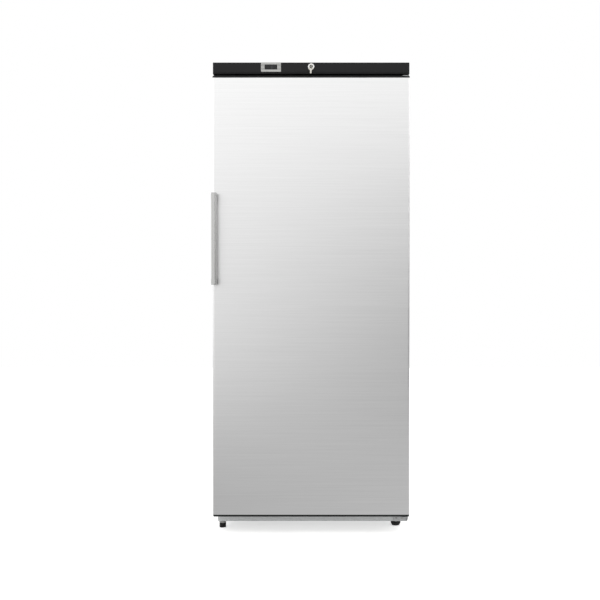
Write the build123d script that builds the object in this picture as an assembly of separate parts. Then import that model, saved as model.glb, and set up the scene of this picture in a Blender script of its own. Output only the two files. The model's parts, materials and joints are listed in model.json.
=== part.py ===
from build123d import *
import os
from math import atan2, cos, pi, sin, sqrt

os.makedirs("parts", exist_ok=True)

# Upright freezer, millimetres. X to the right, Y to the back, Z up.
# The origin is on the floor, in the middle of the cabinet's width and of the overall depth.

# Overall sizes
overall_height = 1860.0
overall_depth = 730.0
cabinet_width = 775.0
door_overhang = 1.0
handle_projection = 38.0
door_thickness = 52.0
gasket_gap = 12.0
door_bottom = 68.0
door_cap_height = 8.0
header_height = 44.0
header_gap = 8.0
cabinet_bottom = 60.0
cabinet_top_drop = 3.0
sheet = 0.8
touch = 0.3  # the gap between pieces that are fitted together
beyond = 1.0  # how far a cut runs past the faces that it opens
round_sides = 24
small_sides = 12
hex_sides = 6

cabinet_back = overall_depth / 2
door_front = -overall_depth / 2 + handle_projection
door_back = door_front + door_thickness
cabinet_front = door_back + gasket_gap
cabinet_top = overall_height - cabinet_top_drop
header_bottom = overall_height - header_height
door_top = header_bottom - header_gap
cabinet_half = cabinet_width / 2
door_half = cabinet_half + door_overhang
inner_half = cabinet_half - sheet
back_face = cabinet_back - sheet

# Compressor compartment's walls and the base rails
bay_depth = 235.0
bay_height = 260.0
bay_front = cabinet_back - bay_depth
bay_top = cabinet_bottom + bay_height
rail_height = 25.0
rail_thickness = 2.0
rail_inset = 12.0
rail_flange = 40.0
rail_bottom = cabinet_bottom - sheet - rail_height
rail_top = rail_bottom + rail_height
floor_plate = 2.0
floor_inset = 42.5
floor_rear_gap = 12.0
floor_lip = 14.0
plate_bottom = rail_bottom + rail_thickness
deck = plate_bottom + floor_plate

# Freezing compartment
side_wall = 60.0
rear_wall = 65.0
ceiling_wall = 95.0
floor_wall = 55.0
step_wall = 50.0
step_rise = 57.0
liner_thickness = 2.5
liner_corner = 20.0
return_width = 22.0
roof_corner = 3.6
cavity_half = cabinet_half - side_wall
liner_back = cabinet_back - rear_wall
liner_ceiling = cabinet_top - ceiling_wall
liner_floor = cabinet_bottom + floor_wall
step_front = bay_front - step_wall
step_top = bay_top + step_rise

# Evaporator shelves
shelf_count = 6
shelf_bends = 6
shelf_over_step = 35.0
shelf_top_room = 240.0
shelf_side_gap = 31.5
shelf_rear_gap = 32.0
shelf_front_gap = 51.0
tube_size = 8.0
bend_steps = 3
wire_size = 3.0
wire_pitch = 60.0
wire_overhang = 8.0
side_run_gap = 16.0
ledge_depth = 7.0
ledge_height = 8.0
ledge_set_back = 60.0
trim_height = 16.0
trim_thickness = 3.0
shelf_half = cavity_half - shelf_side_gap
shelf_rear = liner_back - shelf_rear_gap
shelf_first = step_top + shelf_over_step
shelf_pitch = (liner_ceiling - shelf_top_room - shelf_first) / (shelf_count - 1)
pass_pitch = (shelf_rear - cabinet_front - shelf_front_gap) / shelf_bends
tube_flat = tube_size / 2
bend_radius = pass_pitch / 2
pass_half = shelf_half - bend_radius

# Hinges
hinge_side_inset = 18.5
pin_radius = 5.0
pin_play = 0.05
pin_length = 16.0
pin_lead = 1.0
hinge_plate = 4.0
hinge_leg_width = 56.0
hinge_leg_offset = 11.0
hinge_leg_top_gap = 14.0
hinge_nose = 14.0
hinge_rest = 4.0
hinge_top_rise = 1.5
gusset_thickness = 3.0
bush_radius = 8.0
bush_rim = 3.0
bush_flange = 1.0
bush_depth = 18.0
washer_play = 0.3
hinge_x = door_half - hinge_side_inset
hinge_y = (door_front + door_back) / 2
hinge_leg_left = hinge_x - hinge_leg_width / 2 - hinge_leg_offset
hinge_leg_right = hinge_leg_left + hinge_leg_width
hinge_leg_front = cabinet_front - hinge_plate

# Handle
handle_width = 21.0
handle_depth = 14.0
handle_length = 360.0
handle_rise = 918.0
handle_overlap = 1.5
bracket_height = 24.0
bracket_side = 5.0
bracket_wrap = 26.0
handle_bottom = door_bottom + handle_rise

# Door
door_corner = 7.0
door_hem = 14.0
door_liner_sheet = 2.0
dyke_side_margin = 88.5
dyke_height = 17.0
dyke_margin = 75.0
dyke_corner = 30.0
dyke_slope = 20.0
gasket_inset = 20.0
gasket_width = 20.0
gasket_base = 4.0
gasket_waist = 3.0
gasket_waist_width = 6.0
gasket_play = 0.3
skin_low = door_bottom + door_cap_height
skin_high = door_top - door_cap_height

# Header controls
header_wall = 3.0
header_side_gap = 2.0
bezel_width = 78.6
bezel_height = 36.5
bezel_proud = 3.0
bezel_corner = 3.0
bezel_left_of_lock = 158.0
bezel_under_top = 18.8
window_width = 50.0
window_height = 20.0
key_width = 9.0
key_height = 6.0
key_corner = 1.0
key_gap = 0.3
controller_width = 70.6
controller_height = 28.6
controller_depth = 48.0
lock_under_top = 17.0
lock_flange_radius = 12.5
lock_flange = 3.0
plug_radius = 6.5
plug_play = 0.05
plug_proud = 3.5
keyway_depth = 16.0
keyway_play = 0.2
barrel_radius = 9.5
barrel_length = 20.0
lock_nut_rim = 4.0
lock_nut_height = 4.0
cam_grip = 7.0
cam_width = 14.0
cam_thickness = 2.0
cam_play = 2.0
bow_width = 20.0
bow_length = 15.0
bow_rim = 1.5
bow_hole_radius = 4.0
blade_width = 7.0
bow_stand_off = 15.0
spare_blade = 12.0
key_thickness = 2.0
ring_radius = 6.5
ring_wire = 1.2
ring_hook = 1.0
bezel_x = -bezel_left_of_lock
bezel_z = overall_height - bezel_under_top
lock_z = overall_height - lock_under_top
cam_front = door_front + barrel_length
cam_length = lock_z - door_top + cam_grip

# Compressor compartment's contents
compressor_from_side = 217.5
compressor_from_back = 113.0
compressor_radius = 74.0
compressor_height = 165.0
grommet_height = 14.0
grommet_radius = 11.0
condenser_from_side = 207.5
condenser_gap = 20.0
condenser_lift = 24.8
condenser_depth = 48.0
condenser_half = 108.0
condenser_tall = 190.0
fin_count = 9
fin_thickness = 1.2
shroud_sheet = 2.0
fan_gap = 24.0
fan_radius = 78.0
fan_play = 5.0
fan_blades = 5
fan_hub_radius = 20.0
fan_shaft_radius = 3.0
motor_radius = 28.0
motor_length = 34.0
pipe_radius = 3.5
cover_flange = 10.0
slot_width = 6.0
slot_length = 46.0
slot_pitch = 18.0
slots_in_row = 6
inlet_radius = 11.0
inlet_bore = 4.5
compressor_x = -cabinet_half + compressor_from_side
compressor_y = cabinet_back - compressor_from_back
condenser_x = cabinet_half - condenser_from_side
condenser_front = bay_front + condenser_gap
condenser_low = deck + condenser_lift
condenser_z = condenser_low + condenser_tall / 2
shroud_front = condenser_front + condenser_depth
fan_y = shroud_front + fan_gap

# Feet and rollers
left_foot_side_inset = 27.5
left_foot_front_gap = 41.0
left_foot_radius = 13.5
left_foot_height = 19.0
right_foot_side_inset = 40.5
right_foot_front_gap = 75.0
right_foot_radius = 21.0
right_foot_height = 13.0
stem_radius = 4.0
stem_play = 0.6
nut_radius = 7.5
nut_height = 6.0
foot_nut_height = 5.0
leg_collar_radius = 17.0
leg_collar_height = 3.0
roller_side_inset = 31.5
roller_rear_gap = 35.0
roller_radius = 20.0
roller_width = 18.0
roller_room = 2.0
roller_chamfer = 1.5
axle_radius = 4.0
axle_play = 0.05
left_foot_x = -cabinet_half + left_foot_side_inset
left_foot_y = cabinet_front + left_foot_front_gap
right_foot_x = cabinet_half - right_foot_side_inset
right_foot_y = cabinet_front + right_foot_front_gap
roller_x = cabinet_half - roller_side_inset
roller_y = cabinet_back - roller_rear_gap


def block(x0, x1, y0, y1, z0, z1):
    middle = Pos((x0 + x1) / 2, (y0 + y1) / 2, (z0 + z1) / 2)
    return middle * Box(x1 - x0, y1 - y0, z1 - z0)


def bar(radius, length, sides):
    """A round bar, or a many-sided one where nothing turns on it."""
    if sides:
        return Pos(0, 0, -length / 2) * extrude(RegularPolygon(radius, sides), length)
    return Cylinder(radius, length)


def upright(radius, x, y, z0, z1, sides=0):
    return Pos(x, y, (z0 + z1) / 2) * bar(radius, z1 - z0, sides)


def along_y(radius, x, z, y0, y1, sides=0):
    return Pos(x, (y0 + y1) / 2, z) * Rot(90, 0, 0) * bar(radius, y1 - y0, sides)


def along_x(radius, y, z, x0, x1, sides=0):
    return Pos((x0 + x1) / 2, y, z) * Rot(0, 90, 0) * bar(radius, x1 - x0, sides)


def skinned(rings):
    """A solid of flat faces over rings that have as many corners each."""
    faces = [Face(Wire.make_polygon(rings[0])), Face(Wire.make_polygon(rings[-1]))]
    for lower, upper in zip(rings, rings[1:]):
        for corner in range(len(lower)):
            quad = [lower[corner - 1], lower[corner], upper[corner], upper[corner - 1]]
            faces.append(Face(Wire.make_polygon(quad)))
    return Solid(Shell(faces))


def ring_of_corners(centre, first, second, radius, sides):
    """Corners round a centre, from the first direction towards the second."""
    turns = [2 * pi * number / sides for number in range(sides)]
    return [centre + first * (radius * cos(turn)) + second * (radius * sin(turn)) for turn in turns]


def turned(levels, sides):
    """A turned form of many sides, from (radius, z) pairs."""
    rings = []
    for radius, z in levels:
        rings.append(ring_of_corners(Vector(0, 0, z), Vector(1, 0, 0), Vector(0, 1, 0), radius, sides))
    return skinned(rings)


def tube(points, radius, sides=hex_sides):
    """A tube of flat sides along straight runs, mitred where they meet. The first run isn't along Y."""
    places = [Vector(*point) for point in points]
    runs = [(end - start).normalized() for start, end in zip(places, places[1:])]
    across = Vector(0, 1, 0)
    ring = ring_of_corners(places[0], across, runs[0].cross(across), radius, sides)
    rings = [ring]
    for number, place in enumerate(places[1:]):
        run = runs[number]
        mitre = run if number == len(runs) - 1 else run + runs[number + 1]
        ring = [corner + run * ((place - corner).dot(mitre) / run.dot(mitre)) for corner in ring]
        rings.append(ring)
    return skinned(rings)


def eased(points, bend):
    """The same route, with each corner cut off where its bend starts and ends."""
    places = [Vector(*point) for point in points]
    route = [places[0]]
    for before, corner, after in zip(places, places[1:], places[2:]):
        route.append(corner + (before - corner).normalized() * bend)
        route.append(corner + (after - corner).normalized() * bend)
    route.append(places[-1])
    return route


def half_bend(centre_x, centre_y, radius, side, steps):
    """Points on a half circle that turns towards lower values on the given side."""
    points = []
    for step in range(1, steps):
        turn = pi / 2 - pi * step / steps
        points.append((centre_x + side * radius * cos(turn), centre_y + radius * sin(turn)))
    return points


def fuse(pieces):
    whole = pieces[0]
    for piece in pieces[1:]:
        whole = whole + piece
    return whole


def cut(shape, tools):
    for tool in tools:
        shape = shape - tool
    return shape


def side_profile(points, half_width):
    """A closed outline in (y, z), drawn out over the width."""
    outline = Plane.YZ * make_face(Polyline(*points, close=True))
    return extrude(outline, half_width, both=True)


def plan_profile(points, z0, z1):
    """A closed outline in (x, y), drawn up from z0 to z1."""
    outline = make_face(Polyline(*points, close=True))
    return Pos(0, 0, z0) * extrude(outline, z1 - z0)


def frame_ring(outer_half, low, high, width, y0, y1):
    """A rectangular frame in the plane of the door."""
    inner_half_width = outer_half - width
    hollow = block(-inner_half_width, inner_half_width, y0 - beyond, y1 + beyond, low + width, high - width)
    return block(-outer_half, outer_half, y0, y1, low, high) - hollow


def save(node, *shapes):
    solids = []
    for shape in shapes:
        solids.extend(shape.solids())
    whole = Compound(children=solids) if len(solids) > 1 else solids[0]
    export_step(whole, f"parts/{node}.step")


def round_roof(shape, radius):
    """Rounds the two long upper edges."""
    return fillet(shape.edges().filter_by(Axis.Y).group_by(Axis.Z)[-1], radius)


# Cabinet shell

def make_cabinet():
    wrapper = block(-cabinet_half, cabinet_half, cabinet_front, cabinet_back, cabinet_bottom, cabinet_top)
    hollow = block(-inner_half, inner_half, cabinet_front + sheet, cabinet_back + sheet,
                   cabinet_bottom - sheet, cabinet_top - sheet)
    opening_half = cabinet_half - return_width
    opening_low = cabinet_bottom + return_width
    opening_high = cabinet_top - return_width
    opening = block(-opening_half, opening_half, cabinet_front - sheet, cabinet_front + 2 * sheet,
                    opening_low, opening_high)
    inner_corner = roof_corner - sheet
    save("outer_wrapper", round_roof(wrapper, roof_corner) - round_roof(hollow, inner_corner) - opening)

    # The back sheet has two pressed ribs and ends above the compressor compartment
    rib_depth = 4.0
    rib_half = 18.0
    rib_end_gap = 60.0
    rib_bottom = bay_top + rib_end_gap
    rib_top = cabinet_top - rib_end_gap
    panel = block(-inner_half, inner_half, back_face, cabinet_back, bay_top, cabinet_top - sheet)
    rib_face = back_face - rib_depth
    ribs = []
    grooves = []
    for rib_x in (-cabinet_half / 2, cabinet_half / 2):
        rib = [(rib_x - rib_half, back_face), (rib_x - rib_half + rib_depth, rib_face),
               (rib_x + rib_half - rib_depth, rib_face), (rib_x + rib_half, back_face)]
        ribs.append(plan_profile(rib, rib_bottom, rib_top))
        groove_half = rib_half - sheet
        groove_foot = rib_half - rib_depth - sheet / 2
        groove = [(rib_x - groove_half, cabinet_back), (rib_x - groove_foot, rib_face + sheet),
                  (rib_x + groove_foot, rib_face + sheet), (rib_x + groove_half, cabinet_back)]
        grooves.append(plan_profile(groove, rib_bottom + sheet, rib_top - sheet))
    save("back_panel", cut(fuse([round_roof(panel, inner_corner)] + ribs), grooves))

    # Liner: a thermoformed tub with a step over the compressor, ledges for the shelves and a front flange
    shell = liner_thickness
    inside = side_profile([(cabinet_front - shell, liner_floor), (step_front, liner_floor),
                           (step_front, step_top), (liner_back, step_top), (liner_back, liner_ceiling),
                           (cabinet_front - shell, liner_ceiling)], cavity_half)
    inside = fillet(inside.edges().filter_by(lambda e: e.bounding_box().min.Y > cabinet_front), liner_corner)
    outside = side_profile([(cabinet_front, liner_floor - shell), (step_front + shell, liner_floor - shell),
                            (step_front + shell, step_top - shell), (liner_back + shell, step_top - shell),
                            (liner_back + shell, liner_ceiling + shell),
                            (cabinet_front, liner_ceiling + shell)], cavity_half + shell)
    flange_back = cabinet_front + shell
    flange = block(-opening_half, opening_half, cabinet_front, flange_back, opening_low, opening_high)
    ledges = []
    for shelf in range(shelf_count):
        ledge_top = shelf_first + shelf * shelf_pitch - tube_flat
        for side in (-1, 1):
            wall_x = side * (cavity_half + shell / 2)
            ledge_x = side * (cavity_half - ledge_depth)
            ledges.append(block(min(wall_x, ledge_x), max(wall_x, ledge_x), cabinet_front + ledge_set_back,
                                shelf_rear, ledge_top - ledge_height, ledge_top))
    save("inner_liner", fuse([outside + flange - inside] + ledges))

    # Foam fills the room between liner, wrapper and back sheet
    foam = block(-inner_half, inner_half, flange_back, back_face, cabinet_bottom, cabinet_top - sheet)
    bay = block(-cabinet_half, cabinet_half, bay_front, cabinet_back, 0, bay_top)
    save("insulation_foam", cut(round_roof(foam, inner_corner), [outside, bay, *ribs]))

    # Bottom sheet, stepped up over the compartment
    bottom_face = cabinet_bottom - sheet
    bottom_front = cabinet_front + shell
    step = bay_front + sheet
    bottom = side_profile([(bottom_front, bottom_face), (step, bottom_face), (step, bay_top - sheet),
                           (back_face, bay_top - sheet), (back_face, bay_top), (bay_front, bay_top),
                           (bay_front, cabinet_bottom), (bottom_front, cabinet_bottom)], inner_half)
    save("bottom_sheet", bottom)


# Base frame, feet and rollers

def make_base():
    web_x = cabinet_half - rail_inset
    inner_x = web_x - rail_flange
    web_inside = web_x - rail_thickness
    rail_section = [(web_x, rail_bottom), (inner_x, rail_bottom), (inner_x, plate_bottom),
                    (web_inside, plate_bottom), (web_inside, rail_top - rail_thickness),
                    (inner_x, rail_top - rail_thickness), (inner_x, rail_top), (web_x, rail_top)]
    rails = []
    for side in (-1, 1):
        outline = [(side * x, z) for x, z in rail_section]
        face = Plane.XZ * make_face(Polyline(*outline, close=True))
        rail_length = cabinet_back - rail_thickness - cabinet_front
        rails.append(Pos(0, cabinet_front, 0) * extrude(face, -rail_length))
    flange_back = cabinet_front + rail_flange
    web_back = cabinet_front + rail_thickness
    rails.append(side_profile([(cabinet_front, rail_bottom), (flange_back, rail_bottom),
                               (flange_back, plate_bottom), (web_back, plate_bottom),
                               (web_back, rail_top), (cabinet_front, rail_top)], web_x))
    feet = ((left_foot_x, left_foot_y), (right_foot_x, right_foot_y))
    openings = []
    roller_slot_half = roller_width / 2 + roller_room
    roller_slot_reach = roller_radius + 2 * roller_room
    for side in (-1, 1):
        x = side * roller_x
        openings.append(block(x - roller_slot_half, x + roller_slot_half, roller_y - roller_slot_reach,
                              roller_y + roller_slot_reach, rail_bottom - beyond, plate_bottom + beyond))
    for foot_x, foot_y in feet:
        openings.append(upright(stem_radius + stem_play, foot_x, foot_y, rail_bottom - beyond,
                                plate_bottom + beyond, small_sides))
    save("base_frame", cut(fuse(rails), openings))

    floor_half = cabinet_half - floor_inset
    plate = block(-floor_half, floor_half, bay_front, cabinet_back - floor_rear_gap, plate_bottom, deck)
    lip_top = plate_bottom + floor_lip
    lip = block(-floor_half, floor_half, bay_front, bay_front + floor_plate, plate_bottom, lip_top)
    save("compressor_plate", plate + lip)

    # Each front foot screws in a nut on the rail
    nuts = []
    for foot_x, foot_y in feet:
        nut = Pos(foot_x, foot_y, plate_bottom) * extrude(RegularPolygon(nut_radius, hex_sides), nut_height)
        nuts.append(nut - upright(stem_radius + stem_play, foot_x, foot_y, plate_bottom - beyond,
                                  plate_bottom + nut_height + beyond, small_sides))
    save("foot_nuts", *nuts)

    leg_flare = 2.0
    leg_rim = 0.5
    collar_low = rail_bottom - leg_collar_height
    leg = turned([(left_foot_radius + leg_rim, left_foot_height + touch),
                  (left_foot_radius + leg_flare, collar_low), (leg_collar_radius, collar_low + touch),
                  (leg_collar_radius, rail_bottom)], round_sides)
    bore = upright(stem_radius + stem_play, 0, 0, 0, cabinet_bottom, small_sides)
    save("foot_leg", Pos(left_foot_x, left_foot_y, 0) * (leg - bore))

    stem_top = rail_top - rail_thickness - beyond
    pad_edge = 3.0
    pad = turned([(left_foot_radius - pad_edge, 0), (left_foot_radius - pad_edge / 4, pad_edge / 3),
                  (left_foot_radius, pad_edge), (left_foot_radius, left_foot_height)], round_sides)
    stem = upright(stem_radius, 0, 0, left_foot_height, stem_top, small_sides)
    save("left_foot", Pos(left_foot_x, left_foot_y, 0) * (pad + stem))

    disc_taper = 2.0
    disc = turned([(right_foot_radius - disc_taper, 0),
                   (right_foot_radius - disc_taper / 4, right_foot_height - pad_edge),
                   (right_foot_radius - disc_taper, right_foot_height)], round_sides)
    stem = upright(stem_radius, 0, 0, right_foot_height, stem_top, small_sides)
    lock_nut = extrude(RegularPolygon(nut_radius, hex_sides), foot_nut_height)
    foot = disc + stem + Pos(0, 0, right_foot_height) * lock_nut
    save("right_foot", Pos(right_foot_x, right_foot_y, 0) * foot)

    half = roller_width / 2
    recess_depth = 4.0
    rim = roller_radius - roller_chamfer
    wheel = turned([(rim, -half), (roller_radius, roller_chamfer - half), (roller_radius, half - roller_chamfer),
                    (rim, half)], round_sides)
    for face in (-half, half):
        recess = upright(roller_radius * 0.7, 0, 0, face - recess_depth, face + recess_depth, small_sides)
        boss = upright(axle_radius * 2, 0, 0, face - recess_depth, face + recess_depth, small_sides)
        wheel = wheel - (recess - boss)
    wheel = Rot(0, 90, 0) * (wheel - Cylinder(axle_radius + axle_play, 2 * roller_width))
    cheek_top_half = 22.0
    cheek_foot_half = 10.0
    cheek_foot_z = 12.0
    cheek_outline = [(roller_y - cheek_top_half, rail_bottom), (roller_y + cheek_top_half, rail_bottom),
                     (roller_y + cheek_foot_half, cheek_foot_z), (roller_y - cheek_foot_half, cheek_foot_z)]
    forks = []
    for side, name in ((-1, "left_roller"), (1, "right_roller")):
        x = side * roller_x
        save(name, Pos(x, roller_y, roller_radius) * wheel)
        cheek_x = roller_slot_half + rail_thickness / 2
        cheeks = [Pos(x + face * cheek_x, 0, 0) * side_profile(cheek_outline, rail_thickness / 2)
                  for face in (-1, 1)]
        reach = roller_slot_half + rail_thickness + roller_chamfer
        axle = along_x(axle_radius, roller_y, roller_radius, x - reach, x + reach, small_sides)
        forks.append(fuse(cheeks + [axle]))
    save("roller_forks", *forks)


# Hinges

def make_hinges():
    leg_low = rail_bottom + beyond
    leg_high = overall_height - hinge_leg_top_gap

    def bracket(plate_low, leg_low, leg_high):
        plate_high = plate_low + hinge_plate
        plate = block(hinge_leg_left, hinge_leg_right, hinge_y, cabinet_front, plate_low, plate_high)
        nose = upright(hinge_nose, hinge_x, hinge_y, plate_low, plate_high, round_sides)
        leg = block(hinge_leg_left, hinge_leg_right, hinge_leg_front, cabinet_front, leg_low, leg_high)
        return plate + nose + leg

    plate_low = door_bottom - hinge_rest - hinge_plate
    gusset = [(hinge_leg_front, plate_low), (hinge_leg_front, leg_low), (hinge_y + pin_play, plate_low)]
    gusset_x = hinge_leg_right - gusset_thickness / 2
    bottom = bracket(plate_low, leg_low, plate_low + hinge_plate)
    bottom = bottom + Pos(gusset_x, 0, 0) * side_profile(gusset, gusset_thickness / 2)
    pin = upright(pin_radius, hinge_x, hinge_y, plate_low, door_bottom + pin_length)
    save("bottom_hinge", bottom + chamfer(pin.edges().group_by(Axis.Z)[-1], pin_lead))

    plate_low = door_top + hinge_top_rise
    pin = upright(pin_radius, hinge_x, hinge_y, door_top - pin_length, plate_low + hinge_plate)
    top = bracket(plate_low, plate_low, leg_high)
    save("top_hinge", top + chamfer(pin.edges().group_by(Axis.Z)[0], pin_lead))

    washer_low = door_bottom - hinge_rest
    washer_top = door_bottom - bush_flange - washer_play
    washer = upright(bush_radius + bush_rim, hinge_x, hinge_y, washer_low, washer_top, small_sides)
    pin_room = (pin_radius + pin_play) / cos(pi / small_sides)
    save("hinge_washer", washer - upright(pin_room, hinge_x, hinge_y, 0, door_bottom, small_sides))

    screw_radius = 4.5
    screw_head = 2.2
    screw_from_end = 12.0
    screw_spacing = 22.0
    low_screws = leg_low + screw_from_end
    high_screws = leg_high - screw_from_end + 2 * beyond
    screws = []
    for screw_x in (hinge_leg_left + screw_from_end, hinge_leg_left + screw_from_end + screw_spacing):
        for screw_z in (low_screws, high_screws):
            screws.append(along_y(screw_radius, screw_x, screw_z, hinge_leg_front - screw_head,
                                  hinge_leg_front, small_sides))
    save("hinge_screws", *screws)


# Header housing with its controller and lock

def bow_outline(width, height):
    """A key's oval bow, as a closed outline of many sides."""
    points = []
    for step in range(round_sides):
        turn = 2 * pi * step / round_sides
        points.append((width / 2 * cos(turn), height / 2 * sin(turn)))
    return make_face(Polyline(*points, close=True))


def cam_slot(top, low, high):
    """The room that the turning cam sweeps through, as wide as at the highest face, top."""
    drop = lock_z - top
    reach = sqrt(cam_length ** 2 - drop ** 2) + cam_play
    slot_back = cam_front + cam_thickness + cam_play
    return block(-cam_width / 2 - cam_play, reach, cam_front - cam_play, slot_back, low, high)


def make_header():
    half = door_half - header_side_gap
    bevel_rise = 7.0
    bevel_depth = 2.5
    front_corner = 2.0
    housing = side_profile([(door_front, header_bottom + bevel_rise), (door_front, overall_height),
                            (cabinet_front, overall_height), (cabinet_front, header_bottom),
                            (door_front + bevel_depth, header_bottom)], half)
    front_top = housing.edges().filter_by(Axis.X).group_by(Axis.Z)[-1].sort_by(Axis.Y)[0]
    housing = fillet(front_top, bevel_depth)
    upright_edges = housing.edges().filter_by(Axis.Z)
    housing = fillet(upright_edges.filter_by(lambda e: e.center().Y < door_front + beyond), front_corner)
    wall_back = door_front + header_wall
    wall_top = overall_height - header_wall
    wall_low = header_bottom + header_wall
    inside_half = half - header_wall
    hollow = block(-inside_half, inside_half, wall_back, cabinet_front + beyond, wall_low, wall_top)
    rib_count = 7
    rib_foot = 10.0
    rib_back_gap = 3.0
    rib_shift = 31.0
    rib_pitch = 2 * half / (rib_count + 1)
    ribs = []
    for number in range(rib_count):
        rib_x = (number - (rib_count - 1) / 2) * rib_pitch + rib_shift
        outline = [(wall_back, wall_low), (wall_back, wall_top), (cabinet_front - rib_back_gap, wall_top),
                   (wall_back + rib_foot, wall_low)]
        ribs.append(Pos(rib_x, 0, 0) * side_profile(outline, header_wall / 3))
    boss_radius = 5.0
    boss_hole_radius = 1.6
    boss_hole_depth = 16.0
    boss_end_inset = 22.0
    boss_z = wall_top - boss_radius + beyond
    boss_places = (-half + boss_end_inset, -half / 3, half / 3, hinge_leg_left - boss_end_inset)
    bosses = []
    boss_holes = []
    for boss_x in boss_places:
        bosses.append(along_y(boss_radius, boss_x, boss_z, wall_back, cabinet_front, hex_sides))
        boss_holes.append(along_y(boss_hole_radius, boss_x, boss_z, cabinet_front - boss_hole_depth,
                                  cabinet_front + beyond, hex_sides))
    leg_left = hinge_leg_left - touch
    leg_front = hinge_leg_front - touch
    body_left = bezel_x - controller_width / 2 - touch
    body_right = bezel_x + controller_width / 2 + touch
    body_low = bezel_z - controller_height / 2 - touch
    body_high = bezel_z + controller_height / 2 + touch
    back = cabinet_front + beyond
    under = header_bottom - beyond
    leg_top = overall_height - hinge_leg_top_gap + hinge_rest - beyond
    nut_left = -barrel_radius - 2 * lock_nut_rim
    rooms = [block(leg_left, hinge_leg_right + touch, leg_front, back, under, wall_low + beyond),
             block(leg_left, half + beyond, leg_front, back, under, leg_top),
             block(nut_left, cam_length + lock_nut_rim, wall_back, back, wall_low, wall_top),
             block(body_left, body_right, door_front - beyond, back, body_low, body_high),
             cam_slot(wall_low, under, wall_low + beyond),
             along_y(barrel_radius + touch, 0, lock_z, door_front - beyond, wall_back + beyond, round_sides)]
    save("header_housing", cut(fuse([housing - hollow] + bosses + ribs), rooms + boss_holes))

    # Controller: bezel with a window and four keys, and the body behind it
    bezel_front = door_front - bezel_proud
    bezel_edge = 0.8
    bezel = block(bezel_x - bezel_width / 2, bezel_x + bezel_width / 2, bezel_front, door_front,
                  bezel_z - bezel_height / 2, bezel_z + bezel_height / 2)
    bezel = fillet(bezel.edges().filter_by(Axis.Y), bezel_corner)
    bezel = chamfer(bezel.faces().sort_by(Axis.Y)[0].edges(), bezel_edge)
    window_sides = (bezel_x - window_width / 2, bezel_x + window_width / 2)
    window_levels = (bezel_z - window_height / 2, bezel_z + window_height / 2)
    holes = [block(*window_sides, bezel_front - beyond, door_front + beyond, *window_levels)]
    key_x = (bezel_width + window_width) / 4
    key_z = window_height / 3
    key_front = bezel_front - 1.0
    key_back = door_front - 1.0
    key_edge = 0.4
    half_wide = key_width / 2
    half_tall = key_height / 2
    places = (("key_up", -1, 1), ("key_down", -1, -1), ("key_set", 1, 1), ("key_light", 1, -1))
    for name, side, level in places:
        x = bezel_x + side * key_x
        z = bezel_z + level * key_z
        hole_half = half_wide + key_gap
        hole = block(x - hole_half, x + hole_half, bezel_front - beyond, door_front + beyond,
                     z - half_tall - key_gap, z + half_tall + key_gap)
        holes.append(chamfer(hole.edges().filter_by(Axis.Y), key_corner + key_gap / 2))
        key = block(x - half_wide, x + half_wide, key_front, key_back, z - half_tall, z + half_tall)
        key = chamfer(key.edges().filter_by(Axis.Y), key_corner)
        save(name, chamfer(key.faces().sort_by(Axis.Y)[0].edges(), key_edge))
    save("controller_bezel", cut(bezel, holes))
    save("display_window", block(*window_sides, bezel_front + bezel_edge, door_front, *window_levels))
    body_back = door_front + controller_depth
    body_edge = 1.5
    terminal_depth = 5.0
    body = block(bezel_x - controller_width / 2, bezel_x + controller_width / 2, door_front, body_back,
                 bezel_z - controller_height / 2, bezel_z + controller_height / 2)
    body = chamfer(body.faces().sort_by(Axis.Y)[-1].edges(), body_edge)
    terminal_half = controller_width / 3
    terminals = block(bezel_x - terminal_half, bezel_x + terminal_half, body_back, body_back + terminal_depth,
                      bezel_z - controller_height / 4, bezel_z + controller_height / 4)
    save("controller_body", body + terminals)

    # Lock: a flanged barrel with its nut, a turning plug and a cam
    flange_edge = 1.2
    barrel = turned([(lock_flange_radius - flange_edge, -lock_flange),
                     (lock_flange_radius, flange_edge - lock_flange), (lock_flange_radius, -touch / 3),
                     (barrel_radius, 0), (barrel_radius, barrel_length)], round_sides)
    barrel = Pos(0, door_front, lock_z) * Rot(-90, 0, 0) * barrel
    bore = along_y(plug_radius + plug_play, 0, lock_z, door_front - lock_flange - beyond, cam_front + beyond)
    save("lock_barrel", barrel - bore)
    nut_radius_across = barrel_radius + lock_nut_rim
    nut = extrude(RegularPolygon(nut_radius_across, hex_sides), lock_nut_height)
    nut = Pos(0, wall_back, lock_z) * Rot(-90, 0, 0) * nut
    save("lock_nut", nut - along_y(barrel_radius, 0, lock_z, wall_back - beyond,
                                   wall_back + lock_nut_height + beyond, round_sides))
    plug_front = door_front - plug_proud
    plug = along_y(plug_radius, 0, lock_z, plug_front, cam_front)
    keyway_half = (key_thickness + keyway_play) / 2
    keyway_half_tall = blade_width / 2 + keyway_play
    keyway = block(-keyway_half, keyway_half, plug_front - beyond, plug_front + keyway_depth,
                   lock_z - keyway_half_tall, lock_z + keyway_half_tall)
    save("lock_plug", plug - keyway)
    cam_back = cam_front + cam_thickness
    cam_end_x = cam_length - cam_width / 2
    cam = block(0, cam_end_x, cam_front, cam_back, lock_z - cam_width / 2, lock_z + cam_width / 2)
    for end_x in (0, cam_end_x):
        cam = cam + along_y(cam_width / 2, end_x, lock_z, cam_front, cam_back, small_sides)
    screw_radius = 4.0
    screw_head = 2.5
    screw = along_y(screw_radius, 0, lock_z, cam_back, cam_back + screw_head, hex_sides)
    save("lock_cam", cam + screw)

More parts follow.
